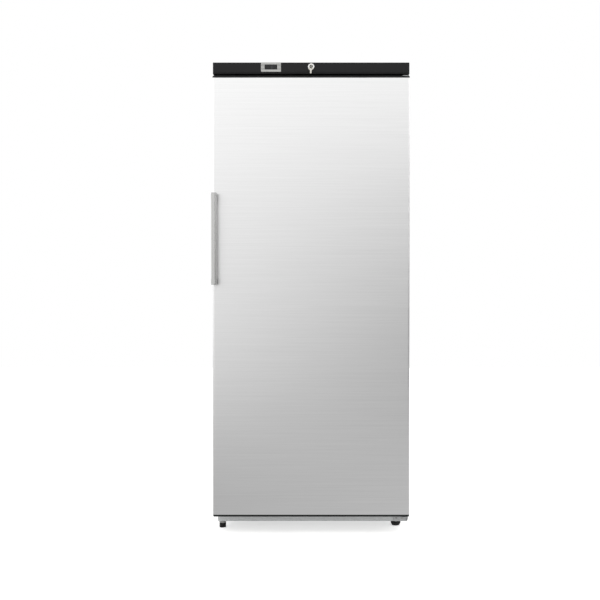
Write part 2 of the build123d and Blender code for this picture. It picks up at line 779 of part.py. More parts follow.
    # The key stands upright in the plug. Its bow is an oval with a hole near the far rim.
    hole_y = plug_front - bow_stand_off
    bow_y = hole_y + bow_length / 2 - bow_rim - bow_hole_radius
    bow = extrude(Plane.YZ * bow_outline(bow_length, bow_width), key_thickness)
    blade = block(-key_thickness / 2, key_thickness / 2, bow_y, plug_front + keyway_depth - beyond,
                  lock_z - blade_width / 2, lock_z + blade_width / 2)
    key = Pos(-key_thickness / 2, bow_y, lock_z) * bow + blade
    bow_hole = along_x(bow_hole_radius, hole_y, lock_z, -key_thickness, key_thickness, small_sides)
    save("lock_key", key - bow_hole)

    # The split ring leans at 45 degrees, so that it clears the bow at both ends of the lock's turn
    lean = sqrt(0.5)
    turn_axis = Vector(lean, 0, -lean)
    to_centre = Vector(-0.5, -lean, -0.5)
    centre = Vector(0, hole_y, lock_z) + to_centre * ring_radius
    ring_plane = Plane(origin=centre, x_dir=turn_axis, z_dir=turn_axis.cross(to_centre))
    ring_section = RegularPolygon(ring_radius + ring_wire / 2, round_sides)
    ring_section = ring_section - RegularPolygon(ring_radius - ring_wire / 2, round_sides)
    save("key_ring", extrude(ring_plane * ring_section, ring_wire / 2, both=True))

    # The spare key hangs flat to the front from the lowest point of the ring
    low_turn = pi - atan2(lean, 0.5)
    lowest = centre - to_centre * ring_radius * cos(low_turn) + turn_axis * ring_radius * sin(low_turn)
    hook_z = lowest.Z - bow_hole_radius + ring_wire / 2 + ring_hook
    spare_z = hook_z + bow_hole_radius + bow_rim - bow_length / 2
    spare_front = lowest.Y - key_thickness / 2
    spare_back = lowest.Y + key_thickness / 2
    spare = extrude(Plane.XZ * bow_outline(bow_width, bow_length), key_thickness)
    spare = Pos(lowest.X, spare_back, spare_z) * spare
    blade = block(lowest.X - blade_width / 2, lowest.X + blade_width / 2, spare_front, spare_back,
                  spare_z - bow_length / 2 - spare_blade, spare_z)
    blade = chamfer(blade.edges().filter_by(Axis.Y).group_by(Axis.Z)[0], blade_width / 3)
    hole = along_y(bow_hole_radius, lowest.X, hook_z, spare_front - beyond, spare_back + beyond, small_sides)
    save("spare_key", spare + blade - hole)


# Door

def make_door():
    def rounded(shape, radius):
        return fillet(shape.edges().filter_by(Axis.Z).group_by(Axis.Y)[0], radius)

    core_half = door_half - sheet
    panel_half = core_half - door_hem
    skin = rounded(block(-door_half, door_half, door_front, door_back, skin_low, skin_high), door_corner)
    core = rounded(block(-core_half, core_half, door_front + sheet, door_back - sheet, skin_low, skin_high),
                   door_corner - sheet)
    mouth = block(-panel_half, panel_half, door_back - 2 * sheet, door_back + beyond,
                  skin_low - beyond, skin_high + beyond)
    save("door_skin", cut(skin, [core, mouth]))

    # The inner panel is a thermoformed sheet with a raised, drawn dyke
    wall = door_liner_sheet
    dyke_half = door_half - dyke_side_margin
    dyke_tall = skin_high - skin_low - 2 * dyke_margin
    back_plane = Plane(origin=(0, door_back, (skin_low + skin_high) / 2), x_dir=(1, 0, 0), z_dir=(0, 1, 0))
    dyke_sketch = RectangleRounded(2 * dyke_half, dyke_tall, dyke_corner)
    core_sketch = RectangleRounded(2 * (dyke_half - wall), dyke_tall - 2 * wall, dyke_corner - wall)
    dyke = extrude(back_plane * dyke_sketch, dyke_height, taper=dyke_slope)
    dyke_core = extrude(back_plane * core_sketch, dyke_height - wall, taper=dyke_slope)
    mouth_half = dyke_half - 2 * wall
    dyke_mouth = block(-mouth_half, mouth_half, door_back - wall, door_back,
                       skin_low + dyke_margin + 2 * wall, skin_high - dyke_margin - 2 * wall)
    panel = block(-panel_half, panel_half, door_back - wall, door_back, skin_low, skin_high)
    panel = cut(panel + dyke, [dyke_core, dyke_mouth])
    groove_width = 6.0
    groove_inset = gasket_inset + (gasket_width - groove_width) / 2
    groove = frame_ring(door_half - groove_inset, skin_low + groove_inset - door_cap_height,
                        skin_high - groove_inset + door_cap_height, groove_width,
                        door_back - wall / 2, door_back + beyond)
    save("door_liner", panel - groove)

    # Hinge bushes, and the rooms for them in the foam and the caps
    low_bush = (door_bottom, door_bottom + bush_depth)
    high_bush = (door_top - bush_depth, door_top)
    rooms = [upright(bush_radius, hinge_x, hinge_y, *ends, small_sides) for ends in (low_bush, high_bush)]
    save("door_foam", cut(core, [panel, *rooms]) + dyke_core + dyke_mouth)
    bushes = []
    low_flange = door_bottom - bush_flange
    for room, ends, flange_low in ((rooms[0], low_bush, low_flange), (rooms[1], high_bush, door_top)):
        flange = upright(bush_radius + bush_rim, hinge_x, hinge_y, flange_low, flange_low + bush_flange,
                         small_sides)
        bore = upright(pin_radius + pin_play, hinge_x, hinge_y, ends[0] - bush_rim, ends[1] + bush_rim)
        bushes.append(room + flange - bore)
    save("hinge_bushes", *bushes)

    # Caps close the skin at both ends. The lock's cam drops into a slot in the upper one.
    cap_edge = 1.2

    def cap(low, high, outer_face):
        whole = rounded(block(-door_half, door_half, door_front, door_back, low, high), door_corner)
        return chamfer(whole.faces().sort_by(Axis.Z)[outer_face].edges(), cap_edge)

    save("door_bottom_cap", cap(door_bottom, skin_low, 0) - rooms[0])
    striker = cam_slot(door_top, skin_high - beyond, door_top + beyond)
    save("door_top_cap", cut(cap(skin_high, door_top, -1), [rooms[1], striker]))

    # Gasket: a base on the panel, a waist and a bead that holds the magnet
    outer = door_half - gasket_inset
    ring_low = door_bottom + gasket_inset
    ring_high = door_top - gasket_inset
    waist = (gasket_width - gasket_waist_width) / 2
    base_back = door_back + gasket_base
    waist_back = base_back + gasket_waist
    bead_inset = 2.0
    bead_edge = 1.0
    base = frame_ring(outer, ring_low, ring_high, gasket_width, door_back, base_back)
    neck = frame_ring(outer - waist, ring_low + waist, ring_high - waist, gasket_waist_width,
                      door_back - wall / 2, waist_back)
    bead = frame_ring(outer - bead_inset, ring_low + bead_inset, ring_high - bead_inset,
                      gasket_width - 2 * bead_inset, waist_back, cabinet_front - gasket_play)
    bead = chamfer(bead.faces().sort_by(Axis.Y)[-1].edges(), bead_edge)
    save("door_gasket", fuse([base, neck, bead]))


# Handle: a bar in front of the door's free edge on two brackets that wrap round its side

def make_handle():
    left = -door_half - handle_overlap
    right = left + handle_width
    front = -overall_depth / 2
    back = front + handle_depth
    bevel = handle_width / 3
    edge = 2.5
    end_edge = 0.8
    outline = [(left, back), (left, front + edge), (left + edge, front), (right - bevel, front),
               (right - end_edge, front + bevel), (right, front + bevel + edge), (right, back)]
    bar = plan_profile(outline, handle_bottom, handle_bottom + handle_length)
    for end in (0, -1):
        bar = chamfer(bar.faces().sort_by(Axis.Z)[end].edges(), end_edge)
    save("handle_bar", bar)

    side_front = -door_half
    side_out = side_front - bracket_side
    wrap = door_front + bracket_wrap
    shoulder = 9.0
    neck = 4.0
    foot = 7.0
    foot_inset = 2.0
    outline = [(side_front, wrap), (side_out, wrap), (side_out, door_front - shoulder),
               (side_out + neck, back), (right - foot_inset, back), (right - foot_inset, back + neck),
               (right - foot, door_front), (side_front, door_front)]
    bracket_end_gap = 1.0
    bracket_edge = 1.5
    screw_radius = 3.2
    screw_head = 1.2
    screw_inset = 6.5
    screw_y = door_front + bracket_wrap / 2
    brackets = []
    screws = []
    top_base = handle_bottom + handle_length - bracket_height - bracket_end_gap
    for base in (handle_bottom + bracket_end_gap, top_base):
        bracket = plan_profile(outline, base, base + bracket_height)
        brackets.append(fillet(bracket.edges().filter_by(Axis.Z).group_by(Axis.X)[0], bracket_edge))
        for z in (base + screw_inset, base + bracket_height - screw_inset):
            screws.append(along_x(screw_radius, screw_y, z, side_out - screw_head, side_out, small_sides))
    save("handle_brackets", *brackets)
    save("handle_screws", *screws)


# Evaporator shelves: each is one refrigerant tube laid in passes, with wires across it

def make_shelves():
    run_x = shelf_half + side_run_gap
    route = [(-run_x, shelf_rear)]
    for number in range(shelf_bends):
        side = 1 if number % 2 == 0 else -1
        y = shelf_rear - number * pass_pitch
        route.append((side * pass_half, y))
        route.extend(half_bend(side * pass_half, y - bend_radius, bend_radius, side, bend_steps))
        route.append((side * pass_half, y - pass_pitch))
    last_y = shelf_rear - shelf_bends * pass_pitch
    route.extend([(run_x, last_y), (run_x, shelf_rear)])
    corner_radius = tube_flat / cos(pi / hex_sides)
    wire_front = last_y - wire_overhang
    wire_back = shelf_rear + wire_overhang
    wire_inset = 10.0
    wire_gaps = int(2 * (pass_half - wire_inset) / wire_pitch)
    trim_front = last_y - tube_size - tube_flat
    trim_lip_depth = 18.0
    trim_lip = 2.0
    trims = []
    tubes = []
    wires = []
    risers = []
    for shelf in range(shelf_count):
        z = shelf_first + shelf * shelf_pitch
        hand = 1 if shelf % 2 == 0 else -1
        tubes.append(tube([(hand * x, y, z) for x, y in route], corner_radius))
        wire_top = z + tube_flat + wire_size
        for number in range(wire_gaps + 1):
            left = (number - wire_gaps / 2) * wire_pitch - wire_size / 2
            for low in (wire_top - wire_size, z - tube_flat - wire_size):
                wires.append(block(left, left + wire_size, wire_front, wire_back, low, low + wire_size))
        if shelf < shelf_count - 1:
            riser = extrude(RegularPolygon(tube_flat, hex_sides), shelf_pitch - tube_size)
            risers.append(Pos(hand * run_x, shelf_rear + tube_flat / 2, z + tube_flat) * riser)
        # A moulded trim is clipped on each shelf's front pass
        trim_back = trim_front + trim_thickness
        lip_back = trim_front + trim_lip_depth
        trims.append(side_profile([(trim_front, z - trim_height / 2), (trim_front, z + trim_height / 2),
                                   (trim_back, z + trim_height / 2), (trim_back, wire_top + trim_lip),
                                   (lip_back, wire_top + trim_lip), (lip_back, wire_top),
                                   (trim_back, wire_top), (trim_back, z - trim_height / 2)],
                                  pass_half - wire_inset))
    save("evaporator_tubes", *tubes)
    save("evaporator_wires", *wires)
    save("evaporator_risers", *risers)
    save("shelf_trims", *trims)


# Compressor compartment

def make_compressor():
    # A welded steel pot on a plate, which stands on four rubber grommets
    plate_z = deck + grommet_height
    plate_sheet = 3.0
    pot_low = plate_z - 2 * plate_sheet
    seam = pot_low + compressor_height * 0.45
    seam_height = 5.0
    seam_rim = 3.0
    top = pot_low + compressor_height
    dome = 42.0
    dome_steps = 3
    shoulder = compressor_radius - 2
    levels = [(compressor_radius * 0.55, pot_low), (compressor_radius * 0.88, pot_low + dome / 4),
              (compressor_radius, pot_low + dome * 0.8), (compressor_radius, seam),
              (compressor_radius + seam_rim, seam + touch),
              (compressor_radius + seam_rim, seam + seam_height),
              (compressor_radius, seam + seam_height + touch), (shoulder, top - dome)]
    for step in range(1, dome_steps + 1):
        turn = step / dome_steps * pi / 2
        levels.append((shoulder * (0.45 + 0.55 * cos(turn)), top - dome + dome * sin(turn)))
    shell = Pos(compressor_x, compressor_y, 0) * turned(levels, round_sides)
    foot_x = 88.0
    foot_y = 52.0
    foot_margin = 15.0
    plate_corner = 14.0
    plate_sketch = RectangleRounded(2 * (foot_x + foot_margin), 2 * (foot_y + foot_margin), plate_corner)
    plate = Pos(compressor_x, compressor_y, plate_z) * extrude(plate_sketch, plate_sheet)
    neck_radius = grommet_radius - 3
    cap_top = plate_z + 2 * plate_sheet
    grommets = []
    holes = []
    for side_x in (-1, 1):
        for side_y in (-1, 1):
            x = compressor_x + side_x * foot_x
            y = compressor_y + side_y * foot_y
            holes.append(upright(neck_radius, x, y, plate_z - beyond, cap_top, hex_sides))
            lower = upright(grommet_radius, x, y, deck, plate_z, hex_sides)
            neck = upright(neck_radius - touch, x, y, plate_z, plate_z + plate_sheet, hex_sides)
            upper = upright(grommet_radius, x, y, plate_z + plate_sheet, cap_top, hex_sides)
            grommets.append(lower + neck + upper)
    save("compressor", cut(shell + plate, holes))
    save("compressor_grommets", *grommets)

    cover_reach = 38.0
    cover_half = 28.0
    cover_rise = 10.0
    cover_tall = 52.0
    cover_edge = 5.0
    cover_low = seam + cover_rise
    cover = block(compressor_x - compressor_radius - cover_reach, compressor_x - compressor_radius * 0.8,
                  compressor_y - cover_half, compressor_y + cover_half, cover_low, cover_low + cover_tall)
    cover = chamfer(cover.edges().filter_by(Axis.Z).group_by(Axis.X)[0], cover_edge)
    save("terminal_box", cover - shell)

    # The tray on top lets the defrost water dry off
    tray_half_wide = 95.0
    tray_half_deep = 72.0
    tray_tall = 26.0
    tray_wall = 2.0
    tray_corner = 12.0
    outer = RectangleRounded(2 * tray_half_wide, 2 * tray_half_deep, tray_corner)
    inner_wide = 2 * (tray_half_wide - tray_wall)
    inner = RectangleRounded(inner_wide, 2 * (tray_half_deep - tray_wall), tray_corner - tray_wall)
    tray = extrude(outer, tray_tall) - Pos(0, 0, tray_wall) * extrude(inner, tray_tall)
    save("evaporation_tray", Pos(compressor_x, compressor_y, top) * tray)

    # Condenser: a hairpin tube through upright fins, on two feet
    left = condenser_x - condenser_half
    right = condenser_x + condenser_half
    hairpin = condenser_tall / 3
    bend = hairpin / 2
    pass_levels = [condenser_low + (2 * number + 1) * bend for number in range(3)]
    stub = 12.0
    route = [(left - stub, pass_levels[0]), (right, pass_levels[0])]
    route.extend(half_bend(right, condenser_low + hairpin, bend, 1, bend_steps)[::-1])
    route.extend([(right, pass_levels[1]), (left, pass_levels[1])])
    route.extend(half_bend(left, condenser_low + 2 * hairpin, bend, -1, bend_steps)[::-1])
    route.extend([(left, pass_levels[2]), (right + stub, pass_levels[2])])
    middle_y = condenser_front + condenser_depth / 2
    coil = tube([(x, middle_y, z) for x, z in route], pipe_radius + 1)
    fin_inset = 6.0
    end_fin_thickness = 2.0
    foot_half = 9.0
    foot_front_gap = 4.0
    fin_gap = 2 * (condenser_half - fin_inset) / (fin_count - 1)
    pieces = [coil]
    for number in range(fin_count):
        x = left + fin_inset + number * fin_gap
        is_end = number in (0, fin_count - 1)
        half_thick = (end_fin_thickness if is_end else fin_thickness) / 2
        bottom = deck if is_end else condenser_low
        pieces.append(block(x - half_thick, x + half_thick, condenser_front, shroud_front,
                            bottom, condenser_low + condenser_tall))
        if is_end:
            pieces.append(block(x - foot_half, x + foot_half, condenser_front + foot_front_gap,
                                shroud_front - foot_front_gap, deck, deck + end_fin_thickness))
    save("condenser", fuse(pieces))

    # Fan: a shroud plate with three arms that hold the motor
    shroud_inset = 4.0
    shroud_back = shroud_front + shroud_sheet
    shroud = block(left + shroud_inset, right - shroud_inset, shroud_front, shroud_back,
                   deck, condenser_low + condenser_tall)
    mouth = along_y(fan_radius + fan_play, condenser_x, condenser_z, shroud_front - beyond,
                    shroud_back + beyond, round_sides)
    motor_gap = 16.0
    arm_count = 3
    arm_sheet = 3.0
    post_near = fan_radius + fan_play + 4
    post_far = post_near + 2 * arm_sheet
    post_half = 4.0
    arm_half = 6.0
    motor_front = fan_y + motor_gap
    motor_back = motor_front + motor_length
    arm_back = motor_back + arm_sheet
    post = block(post_near, post_far, shroud_front, arm_back, -post_half, post_half)
    arm = block(0, post_far, motor_back, arm_back, -arm_half, arm_half)
    arms = []
    for number in range(arm_count):
        turn = Rot(0, 90 + number * 360 / arm_count, 0)
        arms.append(Pos(condenser_x, 0, condenser_z) * turn * (post + arm))
    save("fan_bracket", fuse([shroud - mouth] + arms))
    motor_edge = 3.0
    motor_end = motor_radius - motor_edge
    motor = turned([(motor_end, motor_front), (motor_radius, motor_front + motor_edge),
                    (motor_radius, motor_back - motor_edge), (motor_end, motor_back)], round_sides)
    motor = Pos(condenser_x, 0, condenser_z) * Rot(-90, 0, 0) * motor
    hub_edge = 3.0
    hub_half = 8.0
    shaft = along_y(fan_shaft_radius, condenser_x, condenser_z, fan_y - hub_half + 2, motor_front + beyond)
    save("fan_motor", motor + shaft)
    hub = turned([(fan_hub_radius - hub_edge, -hub_half), (fan_hub_radius, hub_edge - hub_half),
                  (fan_hub_radius, hub_half)], round_sides)
    hub = Rot(-90, 0, 0) * hub
    root = fan_hub_radius - hub_edge
    belly = fan_radius * 0.6
    petal = [(root, -12), (belly, -24), (fan_radius - 3, -22), (fan_radius, 4), (fan_radius - 4, 20),
             (belly, 16), (root, hub_half)]
    blade_half = 0.8
    blade_pitch = 24.0
    blade = Rot(90, 0, 0) * extrude(make_face(Polyline(*petal, close=True)), blade_half, both=True)
    blades = []
    for number in range(fan_blades):
        blades.append(Rot(0, number * 360 / fan_blades, 0) * Rot(blade_pitch, 0, 0) * blade)
    wheel = Pos(condenser_x, fan_y, condenser_z) * fuse([hub] + blades)
    reach = 2 * fan_hub_radius
    fan_bore = along_y(fan_shaft_radius + axle_play, condenser_x, condenser_z, fan_y - reach, fan_y + reach)
    save("condenser_fan", wheel - fan_bore)

    # Filter drier and pipes
    drier_gap = 52.0
    drier_from_bay = 85.0
    drier_rise = 51.8
    drier_radius = 9.0
    drier_tube = 8.0
    drier_cone = 10.0
    drier_length = 68.0
    drier_x = left - drier_gap
    drier_y = bay_front + drier_from_bay
    drier_low = deck + drier_rise
    can_low = drier_low + drier_tube + drier_cone
    can_high = can_low + drier_length
    drier = turned([(pipe_radius, drier_low), (pipe_radius, drier_low + drier_tube), (drier_radius, can_low),
                    (drier_radius, can_high), (pipe_radius, can_high + drier_cone),
                    (pipe_radius, can_high + drier_cone + drier_tube)], small_sides)
    save("filter_drier", Pos(drier_x, drier_y, 0) * drier)
    thin_pipe = pipe_radius - 0.5
    pipe_bend = 10.0
    pot_right = compressor_x + compressor_radius
    pipe_y = compressor_y - 10
    discharge_x = pot_right + 46
    discharge_z = seam + 30
    discharge = tube(eased([(pot_right - 4, pipe_y, discharge_z), (discharge_x, pipe_y, discharge_z),
                            (discharge_x, pipe_y, pass_levels[0]), (discharge_x, middle_y, pass_levels[0]),
                            (left - stub, middle_y, pass_levels[0])], pipe_bend), thin_pipe)
    suction_x = pot_right + 26
    suction_y = compressor_y + 24
    suction_z = seam + 44
    suction_top = top - 30
    wall_y = bay_front + 40
    suction = tube(eased([(pot_right - 6, suction_y, suction_z), (suction_x, suction_y, suction_z),
                          (suction_x, suction_y, suction_top), (suction_x, wall_y, suction_top),
                          (suction_x, wall_y, bay_top - sheet)], pipe_bend), thin_pipe)
    liquid_x = drier_x - 60
    liquid_y = bay_front + 24
    liquid_z = drier_low - 28
    liquid = tube(eased([(drier_x, drier_y, drier_low), (drier_x, drier_y, liquid_z),
                         (drier_x, liquid_y, liquid_z), (liquid_x, liquid_y, liquid_z),
                         (liquid_x, liquid_y, bay_top - sheet)], pipe_bend), thin_pipe)
    save("refrigerant_pipes", discharge - shell, suction - shell, liquid)


# Rear cover with its air slots and the mains inlet

def make_back():
    half = cabinet_half - 2 * sheet
    cover_gap = 2.0
    low = cabinet_bottom + cover_gap
    high = bay_top - 2 * sheet
    lip = cabinet_back - cover_flange
    cover = side_profile([(cabinet_back, low), (cabinet_back, high), (lip, high), (lip, high - sheet),
                          (back_face, high - sheet), (back_face, low + sheet), (lip, low + sheet),
                          (lip, low)], half)
    slot_low = 62.0
    slot_row_gap = 34.0
    bank_pitch = 239.0
    slots = []
    for bank in (-1, 0, 1):
        for row in (0, 1):
            z = low + slot_low + row * (slot_length + slot_row_gap)
            for number in range(slots_in_row):
                x = bank * bank_pitch + (number - (slots_in_row - 1) / 2) * slot_pitch
                slots.append(block(x - slot_width / 2, x + slot_width / 2, back_face - beyond,
                                   cabinet_back + beyond, z, z + slot_length))
    inlet_side_gap = 42.0
    inlet_rise = 34.0
    inlet_x = -half + inlet_side_gap
    inlet_z = low + inlet_rise
    slots.append(along_y(inlet_radius, inlet_x, inlet_z, back_face - beyond, cabinet_back + beyond,
                         round_sides))
    save("rear_cover", cut(cover, slots))

    screw_radius = 3.5
    screw_length = 8.0
    screw_side_inset = 14.0
    screw_end_inset = 8.0
    screws = []
    for x in (-half + screw_side_inset, -half / 3, half / 3, half - screw_side_inset):
        for z in (low + screw_end_inset, high - screw_end_inset):
            screws.append(along_y(screw_radius, x, z, back_face - screw_length, back_face, 8))
    save("rear_cover_screws", *screws)

    inlet_depth = 12.0
    inlet_nut = 5.0
    inlet = along_y(inlet_radius, inlet_x, inlet_z, cabinet_back - inlet_depth, cabinet_back, round_sides)
    nut = extrude(RegularPolygon(inlet_radius + inlet_nut, hex_sides), inlet_nut)
    inlet = inlet + Pos(inlet_x, back_face, inlet_z) * Rot(90, 0, 0) * nut
    save("mains_inlet", inlet - along_y(inlet_bore, inlet_x, inlet_z, cabinet_back - 2 * inlet_depth,
                                        cabinet_back + beyond, small_sides))


make_cabinet()
make_base()
make_hinges()
make_header()
make_door()
make_handle()
make_shelves()
make_compressor()
make_back()
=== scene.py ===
import bpy
import bmesh
import json
import math
from mathutils import Matrix, Vector

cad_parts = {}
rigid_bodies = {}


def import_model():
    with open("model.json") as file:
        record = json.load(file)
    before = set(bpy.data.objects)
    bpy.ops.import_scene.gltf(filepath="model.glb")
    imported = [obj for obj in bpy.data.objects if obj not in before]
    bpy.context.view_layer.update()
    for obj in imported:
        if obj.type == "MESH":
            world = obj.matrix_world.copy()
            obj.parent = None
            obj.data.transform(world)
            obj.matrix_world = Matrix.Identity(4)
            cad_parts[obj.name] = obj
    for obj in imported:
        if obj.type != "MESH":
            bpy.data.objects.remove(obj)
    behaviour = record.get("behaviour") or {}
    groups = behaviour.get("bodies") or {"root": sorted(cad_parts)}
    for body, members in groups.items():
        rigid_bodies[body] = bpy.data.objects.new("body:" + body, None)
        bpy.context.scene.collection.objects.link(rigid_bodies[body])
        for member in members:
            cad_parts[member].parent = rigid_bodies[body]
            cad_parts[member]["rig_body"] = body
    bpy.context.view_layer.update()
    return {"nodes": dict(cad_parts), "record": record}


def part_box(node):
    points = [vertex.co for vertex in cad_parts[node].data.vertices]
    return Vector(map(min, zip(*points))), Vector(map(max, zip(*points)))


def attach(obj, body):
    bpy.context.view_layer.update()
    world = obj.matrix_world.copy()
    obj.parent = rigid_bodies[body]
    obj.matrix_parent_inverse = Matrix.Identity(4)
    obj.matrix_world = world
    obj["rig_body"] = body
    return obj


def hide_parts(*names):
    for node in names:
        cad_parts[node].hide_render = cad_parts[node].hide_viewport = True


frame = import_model()
nodes = frame["nodes"]
slotOfNode = {part["node"]: part["material_slot"] for part in frame["record"]["subparts"]}


# Camera, floor and studio light

camera = {"place": (0.0, -3.881, 0.976), "pitchDegrees": 0.807, "lens": 54.06, "sensor": 36.0,
          "shiftX": -0.0186}
studio = {
    "floorHex": "#f7f7f5", "floorSize": 14.0, "floorRoughness": 0.9, "floorSheen": 0.1, "floorLift": 0.55,
    "worldStrength": 0.80, "reflectFrom": -0.17, "reflectTo": 0.17, "reflectLow": 0.44, "reflectHigh": 1.25,
    "reflectSide": -5.4, "reflectFade": -25.0, "reflectLeast": 0.30,
    "paperSeen": 0.56, "paperLean": 0.12, "paperTurn": 0.06, "paperLeast": 0.30, "paperMost": 1.0,
}
lamps = {  # in metres and watts
    "keyLamp": {"place": (-3.4, -2.4, 3.4), "size": 2.6, "power": 30.0},
    "fillLamp": {"place": (3.4, -1.8, 2.2), "size": 2.4, "power": 24.0},
    "rearLamp": {"place": (0.8, 3.6, 3.2), "size": 3.0, "power": 60.0},
}
lampAim = Vector((0, 0, 0.95))  # about half way up the freezer


def linear(hexText):
    # sRGB hex text to a linear colour
    parts = [int(hexText[i:i + 2], 16) / 255 for i in (1, 3, 5)]
    return tuple(c / 12.92 if c <= 0.04045 else ((c + 0.055) / 1.055) ** 2.4 for c in parts) + (1.0,)


def addNode(tree, kind, values=None, **settings):
    # values go to input sockets: a socket is linked, anything else is set
    node = tree.nodes.new(kind)
    for name, value in settings.items():
        setattr(node, name, value)
    for name, value in (values or {}).items():
        if isinstance(value, bpy.types.NodeSocket):
            tree.links.new(value, node.inputs[name])
        else:
            node.inputs[name].default_value = value
    return node


def buildCamera():
    data = bpy.data.cameras.new("camera")
    data.lens = camera["lens"]
    data.sensor_width = camera["sensor"]
    data.shift_x = camera["shiftX"]
    obj = bpy.data.objects.new("camera", data)
    obj.location = camera["place"]
    obj.rotation_euler = (math.radians(90 - camera["pitchDegrees"]), 0, 0)
    bpy.context.scene.collection.objects.link(obj)
    bpy.context.scene.camera = obj
    print("camera placed")


def buildWorld():
    world = bpy.data.worlds.new("studioWorld")
    bpy.context.scene.world = world
    world.use_nodes = True
    tree = world.node_tree
    tree.nodes.clear()
    # reflections see a bright room above left and a darker one below right, as the door in the photo does
    direction = addNode(tree, "ShaderNodeTexCoord")
    axes = addNode(tree, "ShaderNodeSeparateXYZ", {0: direction.outputs["Generated"]})
    rise = addNode(tree, "ShaderNodeMapRange", {
        "Value": axes.outputs["Z"], "From Min": studio["reflectFrom"], "From Max": studio["reflectTo"],
        "To Min": studio["reflectLow"], "To Max": studio["reflectHigh"]}, interpolation_type="SMOOTHSTEP")
    square = addNode(tree, "ShaderNodeMath", {0: axes.outputs["Z"], 1: axes.outputs["Z"]},
                     operation="MULTIPLY")
    fade = addNode(tree, "ShaderNodeMath", {0: square.outputs[0], 1: studio["reflectFade"], 2: 1.0},
                   operation="MULTIPLY_ADD", use_clamp=True)
    side = addNode(tree, "ShaderNodeMath", {0: axes.outputs["X"], 1: studio["reflectSide"]},
                   operation="MULTIPLY")
    lean = addNode(tree, "ShaderNodeMath", {0: side.outputs[0], 1: fade.outputs[0], 2: rise.outputs[0]},
                   operation="MULTIPLY_ADD")
    seen = addNode(tree, "ShaderNodeClamp", {"Value": lean.outputs[0], "Min": studio["reflectLeast"],
                                            "Max": studio["reflectHigh"]})
    path = addNode(tree, "ShaderNodeLightPath")
    mirror = addNode(tree, "ShaderNodeMath", {0: path.outputs["Is Glossy Ray"],
                                              1: path.outputs["Is Transmission Ray"]}, operation="MAXIMUM")
    soft = addNode(tree, "ShaderNodeMix", {0: mirror.outputs[0], 2: studio["worldStrength"],
                                           3: seen.outputs[0]}, data_type="FLOAT")
    strength = addNode(tree, "ShaderNodeMix", {0: path.outputs["Is Camera Ray"], 2: soft.outputs[0], 3: 1.0},
                       data_type="FLOAT")
    light = addNode(tree, "ShaderNodeBackground", {"Color": (1, 1, 1, 1), "Strength": strength.outputs[0]})
    addNode(tree, "ShaderNodeOutputWorld", {"Surface": light.outputs[0]})


def buildLamp(name, place, size, power):
    data = bpy.data.lights.new(name, "AREA")
    data.shape = "SQUARE"
    data.size = size
    data.energy = power
    obj = bpy.data.objects.new(name, data)
    obj.location = place
    obj.rotation_euler = (lampAim - Vector(place)).to_track_quat("-Z", "Y").to_euler()
    bpy.context.scene.collection.objects.link(obj)


def buildFloor():
    half = studio["floorSize"] / 2
    mesh = bpy.data.meshes.new("floor")
    mesh.from_pydata([(-half, -half, 0), (half, -half, 0), (half, half, 0), (-half, half, 0)], [],
                     [(0, 1, 2, 3)])
    floor = bpy.data.objects.new("floor", mesh)
    bpy.context.scene.collection.objects.link(floor)
    material = bpy.data.materials.new("paperFloor")
    material.use_nodes = True
    tree = material.node_tree
    shader = tree.nodes["Principled BSDF"]
    shader.inputs["Base Color"].default_value = linear(studio["floorHex"])
    shader.inputs["Roughness"].default_value = studio["floorRoughness"]
    shader.inputs["Specular IOR Level"].default_value = studio["floorSheen"]
    # seen by the camera, the paper is lifted to the white of the backdrop and keeps its shadow
    path = addNode(tree, "ShaderNodeLightPath")
    lift = addNode(tree, "ShaderNodeMath", {0: path.outputs["Is Camera Ray"], 1: studio["floorLift"]},
                   operation="MULTIPLY")
    shader.inputs["Emission Color"].default_value = (1, 1, 1, 1)
    tree.links.new(lift.outputs[0], shader.inputs["Emission Strength"])
    # metal and glass see the paper too, as a painted reflection: it glows at the grey that the foot of the
    # door in the photo shows of it, a little lighter to the right close by, and to the left farther off
    mirror = addNode(tree, "ShaderNodeMath", {0: path.outputs["Is Glossy Ray"],
                                              1: path.outputs["Is Transmission Ray"]}, operation="MAXIMUM")
    place = addNode(tree, "ShaderNodeTexCoord")
    axes = addNode(tree, "ShaderNodeSeparateXYZ", {0: place.outputs["Object"]})
    slope = addNode(tree, "ShaderNodeMath", {0: axes.outputs["Y"], 1: studio["paperTurn"],
                                             2: studio["paperLean"]}, operation="MULTIPLY_ADD")
    lean = addNode(tree, "ShaderNodeMath", {0: axes.outputs["X"], 1: slope.outputs[0],
                                            2: studio["paperSeen"]}, operation="MULTIPLY_ADD")
    paintedReflectionTone = addNode(tree, "ShaderNodeClamp", {"Value": lean.outputs[0], "Min": studio["paperLeast"],
                                            "Max": studio["paperMost"]})
    # painted reflection: a glow seen only by metal and glass, graded across the paper
    paper = addNode(tree, "ShaderNodeEmission", {"Strength": paintedReflectionTone.outputs[0]})
    mix = addNode(tree, "ShaderNodeMixShader", {0: mirror.outputs[0], 1: shader.outputs[0],
                                                2: paper.outputs[0]})
    tree.links.new(mix.outputs[0], tree.nodes["Material Output"].inputs["Surface"])
    mesh.materials.append(material)


buildCamera()
buildWorld()
for name, lamp in lamps.items():
    buildLamp(name, **lamp)
buildFloor()
bpy.context.scene.view_settings.view_transform = "Standard"
print("stage and light ready")


# Materials. Scales are in millimetres of the real surface.

materials = {}
noiseLow, noiseHigh = 0.3, 0.7  # nearly all of a noise texture's values lie between these


def startMaterial(name, hexText, roughness, metallic=0.0):
    material = bpy.data.materials.new(name)
    material.use_nodes = True
    tree = material.node_tree
    shader = tree.nodes["Principled BSDF"]
    shader.inputs["Base Color"].default_value = linear(hexText)
    shader.inputs["Roughness"].default_value = roughness
    shader.inputs["Metallic"].default_value = metallic
    materials[name] = material
    return tree, shader


